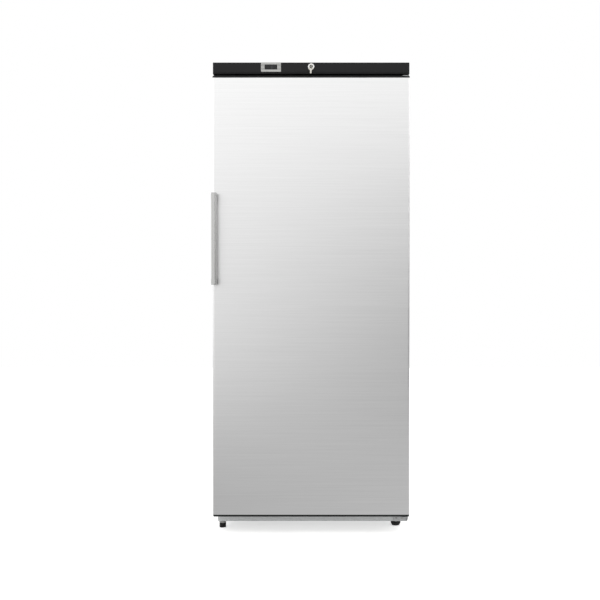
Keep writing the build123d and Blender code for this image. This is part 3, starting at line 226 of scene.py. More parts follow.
def grain(tree, sizesMm, detail=3.0, roughness=0.55):
    # noise whose grains are as long as sizesMm along each axis
    place = addNode(tree, "ShaderNodeTexCoord")
    scaled = addNode(tree, "ShaderNodeMapping", {"Vector": place.outputs["Object"],
                                                 "Scale": [1000.0 / size for size in sizesMm]})
    return addNode(tree, "ShaderNodeTexNoise", {"Vector": scaled.outputs[0], "Scale": 1.0, "Detail": detail,
                                                "Roughness": roughness})


def vary(tree, shader, pattern, colours, roughness, height=None, reliefMm=0.0, strength=0.0):
    # one pattern moves the colour and the roughness between two values each, and another raises the surface
    share = addNode(tree, "ShaderNodeMapRange", {"Value": pattern, "From Min": noiseLow,
                                                 "From Max": noiseHigh})
    colour = addNode(tree, "ShaderNodeMix", {0: share.outputs[0], 6: linear(colours[0]),
                                             7: linear(colours[1])}, data_type="RGBA")
    gloss = addNode(tree, "ShaderNodeMapRange", {"Value": share.outputs[0], "To Min": roughness[0],
                                                 "To Max": roughness[1]})
    tree.links.new(colour.outputs[2], shader.inputs["Base Color"])
    tree.links.new(gloss.outputs[0], shader.inputs["Roughness"])
    if height:
        relief = addNode(tree, "ShaderNodeBump", {"Height": height, "Distance": reliefMm / 1000,
                                                  "Strength": strength})
        tree.links.new(relief.outputs[0], shader.inputs["Normal"])


def makeBrushedStainless():
    # brushed stainless sheet: long level scratches that smear every reflection sideways
    brush = {"long": 160.0, "fine": 0.9, "bandLong": 420.0, "bandFine": 5.0, "reliefMm": 0.012,
             "strength": 0.35, "smear": 0.55}
    tree, shader = startMaterial("brushedStainlessSheet", "#e7e7e7", roughness=0.34, metallic=1.0)
    # the real scratches are 0.1 mm wide, drawn at 0.9 mm so that they show
    fine = grain(tree, (brush["long"], brush["long"], brush["fine"]), detail=4.0)
    broad = grain(tree, (brush["bandLong"], brush["bandLong"], brush["bandFine"]), detail=2.0)
    both = addNode(tree, "ShaderNodeMath", {0: fine.outputs[0], 1: broad.outputs[0]}, operation="ADD")
    half = addNode(tree, "ShaderNodeMath", {0: both.outputs[0], 1: 0.5}, operation="MULTIPLY")
    vary(tree, shader, half.outputs[0], ("#e3e3e3", "#ebebeb"), (0.30, 0.37), fine.outputs[0],
         brush["reliefMm"], brush["strength"])
    shader.inputs["Anisotropic"].default_value = brush["smear"]


def makeMoulded(name, hexText, lightHex, roughness, grainMm, depthMm, gloss=0.35):
    # injection moulded plastic: a spark-eroded grain breaks up its highlights
    mould = {"patchMm": 90.0, "glossier": 0.03, "duller": 0.04, "strength": 0.5, "ior": 1.5}
    tree, shader = startMaterial(name, hexText, roughness)
    fine = grain(tree, (grainMm,) * 3, detail=2.0)
    broad = grain(tree, (mould["patchMm"],) * 3, detail=2.0)
    vary(tree, shader, broad.outputs[0], (hexText, lightHex),
         (roughness - mould["glossier"], roughness + mould["duller"]), fine.outputs[0], depthMm,
         mould["strength"])
    shader.inputs["IOR"].default_value = mould["ior"]
    shader.inputs["Specular IOR Level"].default_value = gloss


def makeSheetMetal(name, darkHex, lightHex, roughness, spangleMm, metallic):
    # zinc coated or lacquered sheet: patches of slightly different grey and gloss
    sheet = {"swell": 3, "glossier": 0.04, "duller": 0.06, "reliefMm": 0.03, "strength": 0.15}
    tree, shader = startMaterial(name, darkHex, roughness, metallic)
    place = addNode(tree, "ShaderNodeTexCoord")
    cells = addNode(tree, "ShaderNodeTexVoronoi", {"Vector": place.outputs["Object"],
                                                   "Scale": 1000.0 / spangleMm})
    grey = addNode(tree, "ShaderNodeSeparateColor", {0: cells.outputs["Color"]})
    soft = grain(tree, (spangleMm * sheet["swell"],) * 3, detail=2.0)
    vary(tree, shader, grey.outputs[0], (darkHex, lightHex),
         (roughness - sheet["glossier"], roughness + sheet["duller"]), soft.outputs[0], sheet["reliefMm"],
         sheet["strength"])


def makePlated(name, hexText, roughness, wearHex):
    # polished plating: bright, with a faint film where it has been handled
    film = {"sizeMm": 9.0, "clean": 0.7, "handled": 1.6}
    tree, shader = startMaterial(name, hexText, roughness, metallic=1.0)
    smear = grain(tree, (film["sizeMm"],) * 3, detail=4.0)
    vary(tree, shader, smear.outputs[0], (wearHex, hexText),
         (roughness * film["clean"], roughness * film["handled"]))


def makeHandleMetal(name, darkHex, lightHex, roughness):
    # satin anodised extrusion: fine lines along its length, softly matt
    lines = {"wideMm": 2.2, "longMm": 400.0, "glossier": 0.03, "duller": 0.04, "reliefMm": 0.004,
             "strength": 0.1}
    tree, shader = startMaterial(name, darkHex, roughness, metallic=0.9)
    fine = grain(tree, (lines["wideMm"], lines["wideMm"], lines["longMm"]), detail=1.0)
    vary(tree, shader, fine.outputs[0], (darkHex, lightHex),
         (roughness - lines["glossier"], roughness + lines["duller"]), fine.outputs[0], lines["reliefMm"],
         lines["strength"])


makeBrushedStainless()
# lock barrel, mirror bright
makePlated("polishedChromePlate", "#e6e6e4", roughness=0.12, wearHex="#cfcfcd")
# keys and ring, warm bright nickel
makePlated("nickelKeyPlate", "#d2d0c9", roughness=0.19, wearHex="#b5b2a8")
# screws, nuts and stems, cool and a little dull
makePlated("brightZincScrew", "#c9cac8", roughness=0.30, wearHex="#a9aaa6")
# lock plug, painted shade: coloured dark to stand for the shade in the recess inside its bright barrel
makePlated("lockPlugPaintedShade", "#4c4c4d", roughness=0.35, wearHex="#3a3a3b")
# pipes and drier, browned where they were brazed
makePlated("drawnCopperTube", "#c77b54", roughness=0.32, wearHex="#a86343")
# black header and caps, a soft dark sheen
makeMoulded("sparkGrainAbs", "#131315", "#161618", roughness=0.55, grainMm=0.8, depthMm=0.05, gloss=0.28)
# inner black plastics
makeMoulded("darkMouldedAbs", "#141416", "#18181a", roughness=0.45, grainMm=1.2, depthMm=0.04)
# controller's frame
makeMoulded("satinGreyAbs", "#b3b3b1", "#bcbcba", roughness=0.40, grainMm=0.7, depthMm=0.03)
# controller's keys
makeMoulded("softGreyKeys", "#a3a3a1", "#acacaa", roughness=0.50, grainMm=0.6, depthMm=0.02)
# foot's leg and rollers
makeMoulded("greyNylon", "#9b9b99", "#a6a6a4", roughness=0.48, grainMm=1.0, depthMm=0.05)
# thermoformed liners, glossy white
makeMoulded("whiteHips", "#f0f0ee", "#f2f2f0", roughness=0.32, grainMm=6.0, depthMm=0.008)
# rubber, dull
makeMoulded("blackNbr", "#141414", "#1a1a1a", roughness=0.72, grainMm=1.6, depthMm=0.08)
# magnetic gasket
makeMoulded("greyVinyl", "#c9c9c7", "#d3d3d1", roughness=0.55, grainMm=1.5, depthMm=0.04)
# cut polyurethane foam
makeMoulded("pourFoam", "#d9c68f", "#e6d6a6", roughness=0.85, grainMm=1.4, depthMm=0.30)
# fan blades
makeMoulded("blackFanPbt", "#1a1b1c", "#202224", roughness=0.50, grainMm=1.0, depthMm=0.04)
# cabinet wrapper, satin silver grey
makeSheetMetal("stuccoCoatedSteel", "#b4b5b7", "#babbbd", roughness=0.36, spangleMm=7.0, metallic=0.55)
# galvanised sheet, faint crystals
makeSheetMetal("zincSpangleSheet", "#c2c4c5", "#c8cacb", roughness=0.44, spangleMm=9.0, metallic=0.50)
# base rails, zinc sheet: its own pale grey lifted further and made less metallic, painted light for rails
# that sit in the door's shade
makeSheetMetal("paleZincRail", "#d8dadb", "#dee0e1", roughness=0.45, spangleMm=6.0, metallic=0.15)
# hinge plates
makeSheetMetal("satinHingeSteel", "#b9babb", "#c3c4c5", roughness=0.38, spangleMm=5.0, metallic=0.80)
# compressor and condenser, wet black
makeSheetMetal("blackDipEnamel", "#151516", "#18181a", roughness=0.30, spangleMm=40.0, metallic=0.0)
# evaporator tubes and wires, cool white
makeSheetMetal("whiteTubeEpoxy", "#e4e7e8", "#eaeced", roughness=0.32, spangleMm=9.0, metallic=0.0)
# fan motor, dull grey casting
makeSheetMetal("motorCastZinc", "#83868a", "#8f9296", roughness=0.45, spangleMm=6.0, metallic=0.7)
# handle bar, one soft highlight along it
makeHandleMetal("satinAnodisedBar", "#b9b9b8", "#bebebd", roughness=0.25)
# handle brackets, darker than the bar
makeHandleMetal("castGreyBracket", "#5d5d5d", "#676767", roughness=0.44)


def makeDisplay():
    # smoked acrylic window: black with a clear hard gloss
    window = {"dustMm": 3.0, "clear": 0.07, "dusty": 0.16, "sheen": 0.3, "coat": 0.15, "coatRoughness": 0.05}
    tree, shader = startMaterial("smokedAcrylic", "#08080a", roughness=0.10)
    dust = grain(tree, (window["dustMm"],) * 3, detail=2.0)
    film = addNode(tree, "ShaderNodeMapRange", {"Value": dust.outputs[0], "From Min": noiseLow,
                                                "From Max": noiseHigh, "To Min": window["clear"],
                                                "To Max": window["dusty"]})
    tree.links.new(film.outputs[0], shader.inputs["Roughness"])
    shader.inputs["Specular IOR Level"].default_value = window["sheen"]
    shader.inputs["Coat Weight"].default_value = window["coat"]
    shader.inputs["Coat Roughness"].default_value = window["coatRoughness"]


def makeSegments():
    # lit segments behind the window, dim in daylight
    segment = {"glowHex": "#b9c0c6", "grainMm": 1.5, "dim": 0.03, "bright": 0.06}
    tree, shader = startMaterial("dimLedSegment", "#303034", roughness=0.5)
    glow = grain(tree, (segment["grainMm"],) * 3, detail=1.0)
    light = addNode(tree, "ShaderNodeMapRange", {"Value": glow.outputs[0], "From Min": noiseLow,
                                                 "From Max": noiseHigh, "To Min": segment["dim"],
                                                 "To Max": segment["bright"]})
    shader.inputs["Emission Color"].default_value = linear(segment["glowHex"])
    tree.links.new(light.outputs[0], shader.inputs["Emission Strength"])


makeDisplay()
makeSegments()

materialOfSlot = {
    "brushed_door_steel": "brushedStainlessSheet", "coated_sheet": "stuccoCoatedSteel",
    "galvanised_sheet": "zincSpangleSheet", "white_liner": "whiteHips", "foam": "pourFoam",
    "zinc_steel": "brightZincScrew", "grey_plastic": "greyNylon", "black_rubber": "blackNbr",
    "hinge_steel": "satinHingeSteel", "black_plastic": "sparkGrainAbs", "bezel_plastic": "satinGreyAbs",
    "display_glass": "smokedAcrylic", "key_plastic": "softGreyKeys", "lock_chrome": "polishedChromePlate",
    "key_nickel": "nickelKeyPlate", "gasket_vinyl": "greyVinyl", "handle_metal": "satinAnodisedBar",
    "handle_bracket_metal": "castGreyBracket", "tube_coating": "whiteTubeEpoxy",
    "compressor_enamel": "blackDipEnamel", "tray_plastic": "darkMouldedAbs",
    "condenser_enamel": "blackDipEnamel", "motor_metal": "motorCastZinc", "fan_plastic": "blackFanPbt",
    "copper": "drawnCopperTube",
}

for nodeName, obj in nodes.items():
    finish = materials[materialOfSlot[slotOfNode[nodeName]]]
    if not obj.material_slots:
        obj.data.materials.append(finish)
    for materialSlot in obj.material_slots:
        materialSlot.material = finish
print("materials ready:", len(materials))


# Shaping. Sizes are in millimetres until a mesh is made.

def mm(length):
    return length / 1000


def meshOf(corners, faces):
    mesh = bpy.data.meshes.new("shape")
    mesh.from_pydata([Vector(corner) / 1000 for corner in corners], [], faces)
    return mesh


def skin(rings, loop=False):
    # faces over rings of as many points each, with flat ends unless the rings close on themselves
    count = len(rings[0])
    corners = [point for ring in rings for point in ring]
    spans = len(rings) if loop else len(rings) - 1
    faces = []
    for span in range(spans):
        near, far = span * count, (span + 1) % len(rings) * count
        for i in range(count):
            j = (i + 1) % count
            faces.append((near + i, near + j, far + j, far + i))
    if not loop:
        faces += [tuple(range(count)), tuple(range(spans * count, spans * count + count))]
    return meshOf(corners, faces)


def turns(steps):
    return [2 * math.pi * step / steps for step in range(steps)]


def lathe(profile, centre, axis="Z", steps=48, hollow=False):
    # (radius, distance) pairs turned about an axis through the centre
    # a hollow one's profile closes on itself
    stand = {"X": Matrix.Rotation(math.pi / 2, 3, "Y"), "Y": Matrix.Rotation(-math.pi / 2, 3, "X"),
             "Z": Matrix.Identity(3)}[axis]
    rings = []
    for radius, distance in profile:
        rings.append([stand @ Vector((radius * math.cos(turn), radius * math.sin(turn), distance))
                      + Vector(centre) for turn in turns(steps)])
    return skin(rings, loop=hollow)


def swept(line, radius, sides=16):
    # a round section carried along a line of points without twisting
    rings = []
    across = (line[1] - line[0]).normalized().orthogonal()
    for i, place in enumerate(line):
        run = (line[min(i + 1, len(line) - 1)] - line[max(i - 1, 0)]).normalized()
        across = (across - run * across.dot(run)).normalized()
        up = run.cross(across)
        rings.append([place + (across * math.cos(turn) + up * math.sin(turn)) * radius
                      for turn in turns(sides)])
    return skin(rings)


def bent(points, bend, steps=8):
    # a route of straight runs at right angles, with a round bend at each corner
    route = [Vector(point) for point in points]
    line = [route[0]]
    for before, corner, after in zip(route, route[1:], route[2:]):
        start = corner + (before - corner).normalized() * bend
        end = corner + (after - corner).normalized() * bend
        centre = start + end - corner
        for step in range(steps + 1):
            turn = math.pi / 2 * step / steps
            line.append(centre + (start - centre) * math.cos(turn) + (end - centre) * math.sin(turn))
    return line + [route[-1]]


def arc(x, y, wide, tall, start, end, steps=12):
    # points round part of an ellipse, from one angle to another in degrees
    angles = [math.radians(start + (end - start) * step / steps) for step in range(steps + 1)]
    return [(x + wide * math.cos(angle), y + tall * math.sin(angle)) for angle in angles]


def softened(points, setback, steps=5):
    # an outline with each corner rounded off; the setback may differ per corner and is 0 at a sharp one
    result = []
    for i, point in enumerate(points):
        back = setback[i] if isinstance(setback, (list, tuple)) else setback
        here = Vector(point)
        if back == 0:
            result.append(here)
            continue
        start = here + (Vector(points[i - 1]) - here).normalized() * back
        end = here + (Vector(points[(i + 1) % len(points)]) - here).normalized() * back
        for step in range(steps + 1):
            s = step / steps
            result.append(start * (1 - s) ** 2 + here * 2 * s * (1 - s) + end * s ** 2)
    return result


def inset(outline, distance):
    # an anticlockwise outline drawn in towards its own middle
    result = []
    for i, point in enumerate(outline):
        before, after = Vector(outline[i - 1]), Vector(outline[(i + 1) % len(outline)])
        along = (after - before).normalized()
        result.append(Vector(point) + Vector((-along.y, along.x)) * distance)
    return result


def drawnOut(outline, low, high, edge=0.0):
    # an anticlockwise plan drawn up from one level to another, with its end edges broken
    levels = [(low, edge), (low + edge, 0), (high - edge, 0), (high, edge)] if edge else [(low, 0), (high, 0)]
    return skin([[(x, y, level) for x, y in (inset(outline, cut) if cut else outline)]
                 for level, cut in levels])


def roundedBlock(low, high, edge, segments=3):
    bm = bmesh.new()
    bmesh.ops.create_cube(bm, size=1)
    for vertex in bm.verts:
        vertex.co = Vector([(low[i] + high[i]) / 2 + vertex.co[i] * (high[i] - low[i]) for i in range(3)])
    bmesh.ops.bevel(bm, geom=bm.edges[:], offset=edge, segments=segments, profile=0.5, affect="EDGES")
    bmesh.ops.scale(bm, vec=(0.001,) * 3, verts=bm.verts)
    mesh = bpy.data.meshes.new("shape")
    bm.to_mesh(mesh)
    bm.free()
    return mesh


def joined(meshes):
    bm = bmesh.new()
    for mesh in meshes:
        bm.from_mesh(mesh)
    whole = bpy.data.meshes.new("shape")
    bm.to_mesh(whole)
    bm.free()
    return whole


def held(name, mesh):
    # a mesh on an object of its own, for a modifier to work on
    obj = bpy.data.objects.new(name, mesh)
    bpy.context.scene.collection.objects.link(obj)
    return obj


def baked(obj):
    # what an object's modifiers make of it, as a plain mesh
    bpy.context.view_layer.update()
    mesh = bpy.data.meshes.new_from_object(obj.evaluated_get(bpy.context.evaluated_depsgraph_get()))
    bpy.data.objects.remove(obj)
    return mesh


overshoot = 1.0  # how far a tool stands out of what it cuts


def carved(body, tool):
    # the body with the tool's shape cut out of it
    for mesh in (body, tool):
        bm = bmesh.new()
        bm.from_mesh(mesh)
        bmesh.ops.recalc_face_normals(bm, faces=bm.faces)
        bm.to_mesh(mesh)
        bm.free()
    solid, cutter = held("solid", body), held("cutter", tool)
    boolean = solid.modifiers.new("carve", "BOOLEAN")
    boolean.object = cutter
    boolean.operation = "DIFFERENCE"
    result = baked(solid)
    bpy.data.objects.remove(cutter)
    return result


def box(node):
    # a CAD node's lowest and highest corners in millimetres
    low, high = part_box(node)
    return low * 1000, high * 1000


def middle(node):
    low, high = box(node)
    return (low + high) / 2


mergeWithin = 1e-6  # metres between points that are one


def addPiece(name, mesh, finish, node, stands=True, sharpDegrees=32):
    # a finished mesh takes its finish and shading, moves with a CAD node and stands for it or only adds to it
    bm = bmesh.new()
    bm.from_mesh(mesh)
    bmesh.ops.remove_doubles(bm, verts=bm.verts, dist=mergeWithin)
    bmesh.ops.recalc_face_normals(bm, faces=bm.faces)
    limit = math.radians(sharpDegrees)
    for face in bm.faces:
        face.smooth = True
    for edge in bm.edges:
        edge.smooth = len(edge.link_faces) == 2 and edge.calc_face_angle(0) < limit
    finished = bpy.data.meshes.new(name)
    bm.to_mesh(finished)
    bm.free()
    finished.materials.append(materials[finish])
    piece = held(name, finished)
    flats = piece.modifiers.new("flats", "WEIGHTED_NORMAL")  # keeps large faces flat beside rounded edges
    flats.keep_sharp = True
    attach(piece, nodes[node]["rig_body"])
    if stands:
        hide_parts(node)


# Geometry Nodes: one tree per repeated form, its inputs named and in metres

def startTree(name, inputs):
    tree = bpy.data.node_groups.new(name, "GeometryNodeTree")
    tree.interface.new_socket("Geometry", in_out="INPUT", socket_type="NodeSocketGeometry")
    for label, kind in inputs.items():
        tree.interface.new_socket(label, in_out="INPUT", socket_type="NodeSocket" + kind)
    tree.interface.new_socket("Geometry", in_out="OUTPUT", socket_type="NodeSocketGeometry")
    return tree, tree.nodes.new("NodeGroupInput").outputs


def endTree(tree, instances, finish):
    # what a tree makes is made real and given its material before it leaves
    real = addNode(tree, "GeometryNodeRealizeInstances", {0: instances.outputs[0]})
    painted = addNode(tree, "GeometryNodeSetMaterial", {"Geometry": real.outputs[0],
                                                        "Material": materials[finish]})
    addNode(tree, "NodeGroupOutput", {0: painted.outputs[0]})
    return tree


def grown(tree, values, base=None):
    # runs a tree once on a mesh and returns what it makes as a plain mesh
    obj = held("grown", base or bpy.data.meshes.new("none"))
    modifier = obj.modifiers.new("repeat", "NODES")
    modifier.node_group = tree
    for item in tree.interface.items_tree:
        if item.in_out == "INPUT" and item.name in values:
            modifier[item.identifier] = values[item.name]
    return baked(obj)


# Door skin: one folded sheet with round front corners and a hem at the back

def buildDoorSkin():
    low, high = box("door_skin")
    sheet = {"thick": 0.8, "corner": 7.0, "hem": 14.0, "bend": 1.0}

    def plan(depth):
        # the fold's outline from above, at a depth below the outer face
        left, right, front, back = low.x + depth, high.x - depth, low.y + depth, high.y - depth
        hem, bend, corner = sheet["hem"], sheet["bend"] - depth, sheet["corner"] - depth
        return softened([(left + hem, back), (left, back), (left, front), (right, front), (right, back),
                         (right - hem, back)], [0, bend, corner, corner, bend, 0], steps=10)

    folded = drawnOut(plan(0) + plan(sheet["thick"])[::-1], low.z, high.z)
    addPiece("doorSkinSheet", folded, "brushedStainlessSheet", "door_skin")
    print("door skin folded")


# Handle: an extruded bar with a wide bevel on its inner side

def buildHandle():
    low, high = box("handle_bar")
    bar = {"bevel": 7.0, "bevelDeep": 7.5, "edges": [1.2, 2.6, 1.2, 1.2, 1.2], "endEdge": 0.8}
    left, right, front, back = low.x, high.x, low.y, high.y
    outline = softened([(left, back), (left, front), (right - bar["bevel"], front),
                        (right, front + bar["bevelDeep"]), (right, back)], bar["edges"], steps=6)
    addPiece("handleExtrusion", drawnOut(outline, low.z, high.z, bar["endEdge"]), "satinAnodisedBar",
             "handle_bar")
    print("handle extruded")


# Controller: lit digits behind the smoked window

def buildDigits():
    low, high = box("display_window")
    digit = {"tall": 10.0, "wide": 5.4, "bar": 1.1, "gap": 0.7, "pitch": 8.2, "firstX": 14.0, "proud": 0.12,
             "lampX": 6.5, "lampDrop": 4.0, "lampSize": 1.6, "edge": 0.05}
    # the segments of a seven-segment digit, clockwise from the top, then the middle one
    lit = {"-": "g", "1": "bc", "8": "abcdefg"}
    half, side = digit["tall"] / 2, digit["wide"] / 2
    spots = {"a": (0, half, True), "b": (side, half / 2, False), "c": (side, -half / 2, False),
             "d": (0, -half, True), "e": (-side, -half / 2, False), "f": (-side, half / 2, False),
             "g": (0, 0, True)}
    bars = []

    def addBar(x, z, long, tall):
        bars.append(roundedBlock((x - long, low.y - digit["proud"], z - tall), (x + long, low.y, z + tall),
                                 digit["edge"], segments=1))

    for place, sign in enumerate("-18"):
        for segment in lit[sign]:
            x, z, level = spots[segment]
            size = ((side - digit["gap"], digit["bar"] / 2) if level
                    else (digit["bar"] / 2, half / 2 - digit["gap"]))
            addBar(low.x + digit["firstX"] + place * digit["pitch"] + x, (low.z + high.z) / 2 + z, *size)
    addBar(low.x + digit["lampX"], high.z - digit["lampDrop"], digit["lampSize"] / 2, digit["lampSize"] / 2)
    addPiece("displaySegments", joined(bars), "dimLedSegment", "display_window", stands=False)
    print("digits lit")


# Keys: stamped and nickel plated, with a lobed bow and a cut blade

key = {"bowHalf": 10.0, "bowDeep": 7.5, "lobe": 0.13, "hole": 4.0, "holeUp": 2.0, "edge": 0.35,
       "bladeFrom": 6.0, "bladeHalf": 3.5, "bladeEdge": 0.25, "bladeThick": 0.9, "bladeFlat": 0.6,
       "shallow": 0.75, "cut": 1.5, "pitch": 2.2, "tip": 2.2, "steps": 64}


def keyMesh(centre, across, down, thick, whole):
    # a key in the plane of two directions, of which down runs from the bow to the tip
    across, down, edge, half = Vector(across), Vector(down), key["edge"], thick / 2
    flat = across.cross(down)

    def stack(sections, loop):
        return skin([[Vector(centre) + across * x + down * y + flat * level for x, y in outline]
                     for outline, level in sections], loop)

    rim, hole = [], []
    for turn in turns(key["steps"]):
        lobe = 1 - key["lobe"] * math.sin(2 * turn) ** 2
        rim.append((key["bowHalf"] * math.cos(turn) * lobe, key["bowDeep"] * math.sin(turn) * lobe))
        hole.append((key["hole"] * math.cos(turn), key["hole"] * math.sin(turn) - key["holeUp"]))
    rimIn, holeOut = inset(rim, edge), inset(hole, -edge)
    bow = stack([(rimIn, -half), (holeOut, -half), (hole, edge - half), (hole, half - edge), (holeOut, half),
                 (rimIn, half), (rim, half - edge), (rim, edge - half)], loop=True)
    side, tip, pitch = key["bladeHalf"], key["tip"], key["pitch"]
    start, end = key["bladeFrom"], whole - key["bowDeep"]
    blade = [(side, start)]
    for number in reversed(range(max(2, int((end - start - 2 * tip) / pitch)))):
        y, deep = end - tip - number * pitch, key["cut"] if number % 2 else key["shallow"]
        blade += [(side, y - pitch / 2), (side - deep, y)]
    blade += [(side - tip, end), (tip - side, end), (-side, end - tip), (-side, start)]
    small, outer, inner = inset(blade, key["bladeEdge"]), key["bladeThick"] * half, key["bladeFlat"] * half
    return joined([bow, stack([(small, -outer), (blade, -inner), (blade, inner), (small, outer)],
                              loop=False)])


def buildKeys():
    low, high = box("lock_key")
    centre = (0, low.y + key["bowDeep"], (low.z + high.z) / 2)
    turned = keyMesh(centre, (0, 0, 1), (0, 1, 0), high.x - low.x, high.y - low.y)
    addPiece("turningKey", turned, "nickelKeyPlate", "lock_key")
    low, high = box("spare_key")
    centre = ((low.x + high.x) / 2, (low.y + high.y) / 2, high.z - key["bowDeep"])
    spare = keyMesh(centre, (1, 0, 0), (0, 0, -1), high.y - low.y, high.z - low.z)
    addPiece("spareKeyOnRing", spare, "nickelKeyPlate", "spare_key")


def buildKeyRing():
    # a split ring of two close turns
    # it leans at 45 degrees to the front and to the level, as the CAD ring does
    ring = {"radius": 6.5, "wire": 0.3, "split": 0.55, "steps": 96}
    lean = math.sqrt(0.5)
    side, toCentre = Vector((lean, 0, -lean)), Vector((-0.5, -lean, -0.5))
    normal = side.cross(toCentre).normalized()
    line = []
    for step in range(ring["steps"] + 1):
        share = step / ring["steps"]
        turn = 4 * math.pi * share
        line.append(middle("key_ring") + (side * math.cos(turn) + toCentre * math.sin(turn)) * ring["radius"]
                    + normal * ring["split"] * (share - 0.5))
    addPiece("splitKeyRing", swept(line, ring["wire"], sides=10), "nickelKeyPlate", "key_ring")
    print("keys cut and ringed")


# Lock: a flanged barrel, and in it the plug with its keyway

def buildLock():
    low, high = box("lock_barrel")
    centre = middle("lock_barrel") * Vector((1, 0, 1))
    lock = {"bore": 6.55, "body": 9.5, "flange": 12.5, "flangeThick": 3.0,
            "barrelEdges": [0.5, 1.0, 0.3, 0, 0.5, 0],
            "dish": 0.6, "dishRim": 1.6, "faceRim": 1.0, "pole": 0.5, "plugEdges": [0, 0.3, 0.2, 0.3, 0.3, 0],
            "keywayWide": 2.2, "keywayTall": 7.4, "keywayDeep": 15.0, "keywayEdge": 0.2}
    bore, body, flange, seat = lock["bore"], lock["body"], lock["flange"], low.y + lock["flangeThick"]
    section = softened([(bore, low.y), (flange, low.y), (flange, seat), (body, seat), (body, high.y),
                        (bore, high.y)], lock["barrelEdges"])
    addPiece("chromeLockBarrel", lathe(section, centre, "Y", steps=64, hollow=True), "polishedChromePlate",
             "lock_barrel")
    low, high = box("lock_plug")
    radius, front, pole, dish = (high.x - low.x) / 2, low.y, lock["pole"], low.y + lock["dish"]
    face = softened([(pole, dish), (radius - lock["dishRim"], dish), (radius - lock["faceRim"], front),
                     (radius, front), (radius, high.y), (pole, high.y)], lock["plugEdges"])
    wide, tall = lock["keywayWide"] / 2, lock["keywayTall"] / 2
    keyway = roundedBlock((centre.x - wide, front - overshoot, centre.z - tall),
                          (centre.x + wide, front + lock["keywayDeep"], centre.z + tall),
                          lock["keywayEdge"], segments=1)
    plug = carved(lathe(face, centre, "Y", steps=64), keyway)
    # the plug takes the dark finish that paints the shade of its recess
    addPiece("dieCastPlug", plug, "lockPlugPaintedShade", "lock_plug")
    print("lock turned")


# Feet: rubber pads on threaded stems; the left one stands in a grey leg

def threaded(centre, radius, low, high):
    # a stem whose profile rises and falls once per turn of its thread
    thread = {"pitch": 1.4, "deep": 0.6, "crestFrom": 0.45, "crestTo": 0.55, "chamfer": 0.5}
    pitch, root = thread["pitch"], radius - thread["deep"]
    count = int((high - low) / pitch)
    profile = [(radius * thread["chamfer"], low)]
    for turn in range(count):
        z = low + turn * pitch
        profile += [(root, z), (radius, z + thread["crestFrom"] * pitch),
                    (radius, z + thread["crestTo"] * pitch)]
    profile += [(root, low + count * pitch), (radius * thread["chamfer"], high)]
    return lathe(profile, centre, steps=32)


def buildFeet():
    foot = {"stem": 4.0, "play": 0.6, "pole": 1.0,
            "padTall": 19.0, "padEdges": [0, 1.8, 0.2, 0.2, 0.2, 1.8, 0],
            "groove": 0.5, "grooveAt": 9.0, "grooveHalf": 1.0,
            "legFoot": 14.0, "legTop": 15.6, "collar": 3.0, "legEdges": [0, 0.6, 0.4, 0.6, 0.3, 0],
            "discTall": 13.0, "discTaper": 5.2, "discBand": 2.0, "discEdges": [0, 0.8, 1.0, 1.0, 0]}
    stem, pole = foot["stem"], foot["pole"]
    groove, at, half = foot["groove"], foot["grooveAt"], foot["grooveHalf"]
    low, high = box("left_foot")
    centre = middle("left_foot") * Vector((1, 1, 0))
    radius, tall = (high.x - low.x) / 2, foot["padTall"]
    pad = softened([(pole, 0), (radius, 0), (radius, at - half), (radius - groove, at), (radius, at + half),
                    (radius, tall), (pole, tall)], foot["padEdges"])
    addPiece("leftRubberPad", lathe(pad, centre), "blackNbr", "left_foot")
    rod = threaded(centre, stem, tall - groove, high.z)
    addPiece("leftFootStem", rod, "brightZincScrew", "left_foot", stands=False)
    low, high = box("foot_leg")
    radius, collar, bore = (high.x - low.x) / 2, high.z - foot["collar"], stem + foot["play"]
    leg = softened([(bore, low.z), (foot["legFoot"], low.z), (foot["legTop"], collar), (radius, collar),
                    (radius, high.z), (bore, high.z)], foot["legEdges"])
    addPiece("greyFootLeg", lathe(leg, middle("foot_leg") * Vector((1, 1, 0)), hollow=True), "greyNylon",
             "foot_leg")
    low, high = box("right_foot")
    centre = middle("right_foot") * Vector((1, 1, 0))
    radius, tall = (high.x - low.x) / 2, foot["discTall"]
    disc = softened([(pole, 0), (radius - foot["discTaper"], 0), (radius, tall - foot["discBand"]),
                     (radius, tall), (pole, tall)], foot["discEdges"])
    addPiece("rightRubberDisc", lathe(disc, centre), "blackNbr", "right_foot")
    rod = threaded(centre, stem, tall - groove, high.z)
    addPiece("rightFootStem", rod, "brightZincScrew", "right_foot", stands=False)
    print("feet moulded")


# Rollers: nylon wheels with a raised hub and rim

def buildRollers():
    roller = {"recess": 3.6, "hub": 8.0, "bore": 4.05, "rim": 14.2, "edges": [0.3, 0.5, 0.5, 0.5, 0.5, 1.6]}
    bore, hub, rim = roller["bore"], roller["hub"], roller["rim"]
    deep, edges = roller["recess"], roller["edges"]
    for node, name in (("left_roller", "leftNylonRoller"), ("right_roller", "rightNylonRoller")):
        low, high = box(node)
        radius = (high.z - low.z) / 2
        cheek = [(bore, 0), (hub, 0), (hub, deep), (rim, deep), (rim, 0), (radius, 0)]
        section = [(r, low.x + d) for r, d in cheek] + [(r, high.x - d) for r, d in reversed(cheek)]
        wheel = lathe(softened(section, edges + edges[::-1]), middle(node) * Vector((0, 1, 1)), "X", steps=64,
                      hollow=True)
        addPiece(name, wheel, "greyNylon", node)
    print("rollers moulded")


buildDoorSkin()
buildHandle()
buildDigits()
buildKeys()
buildKeyRing()
buildLock()
buildFeet()
buildRollers()


# Evaporator shelves: a round tube in passes, crossed by close wires above and below

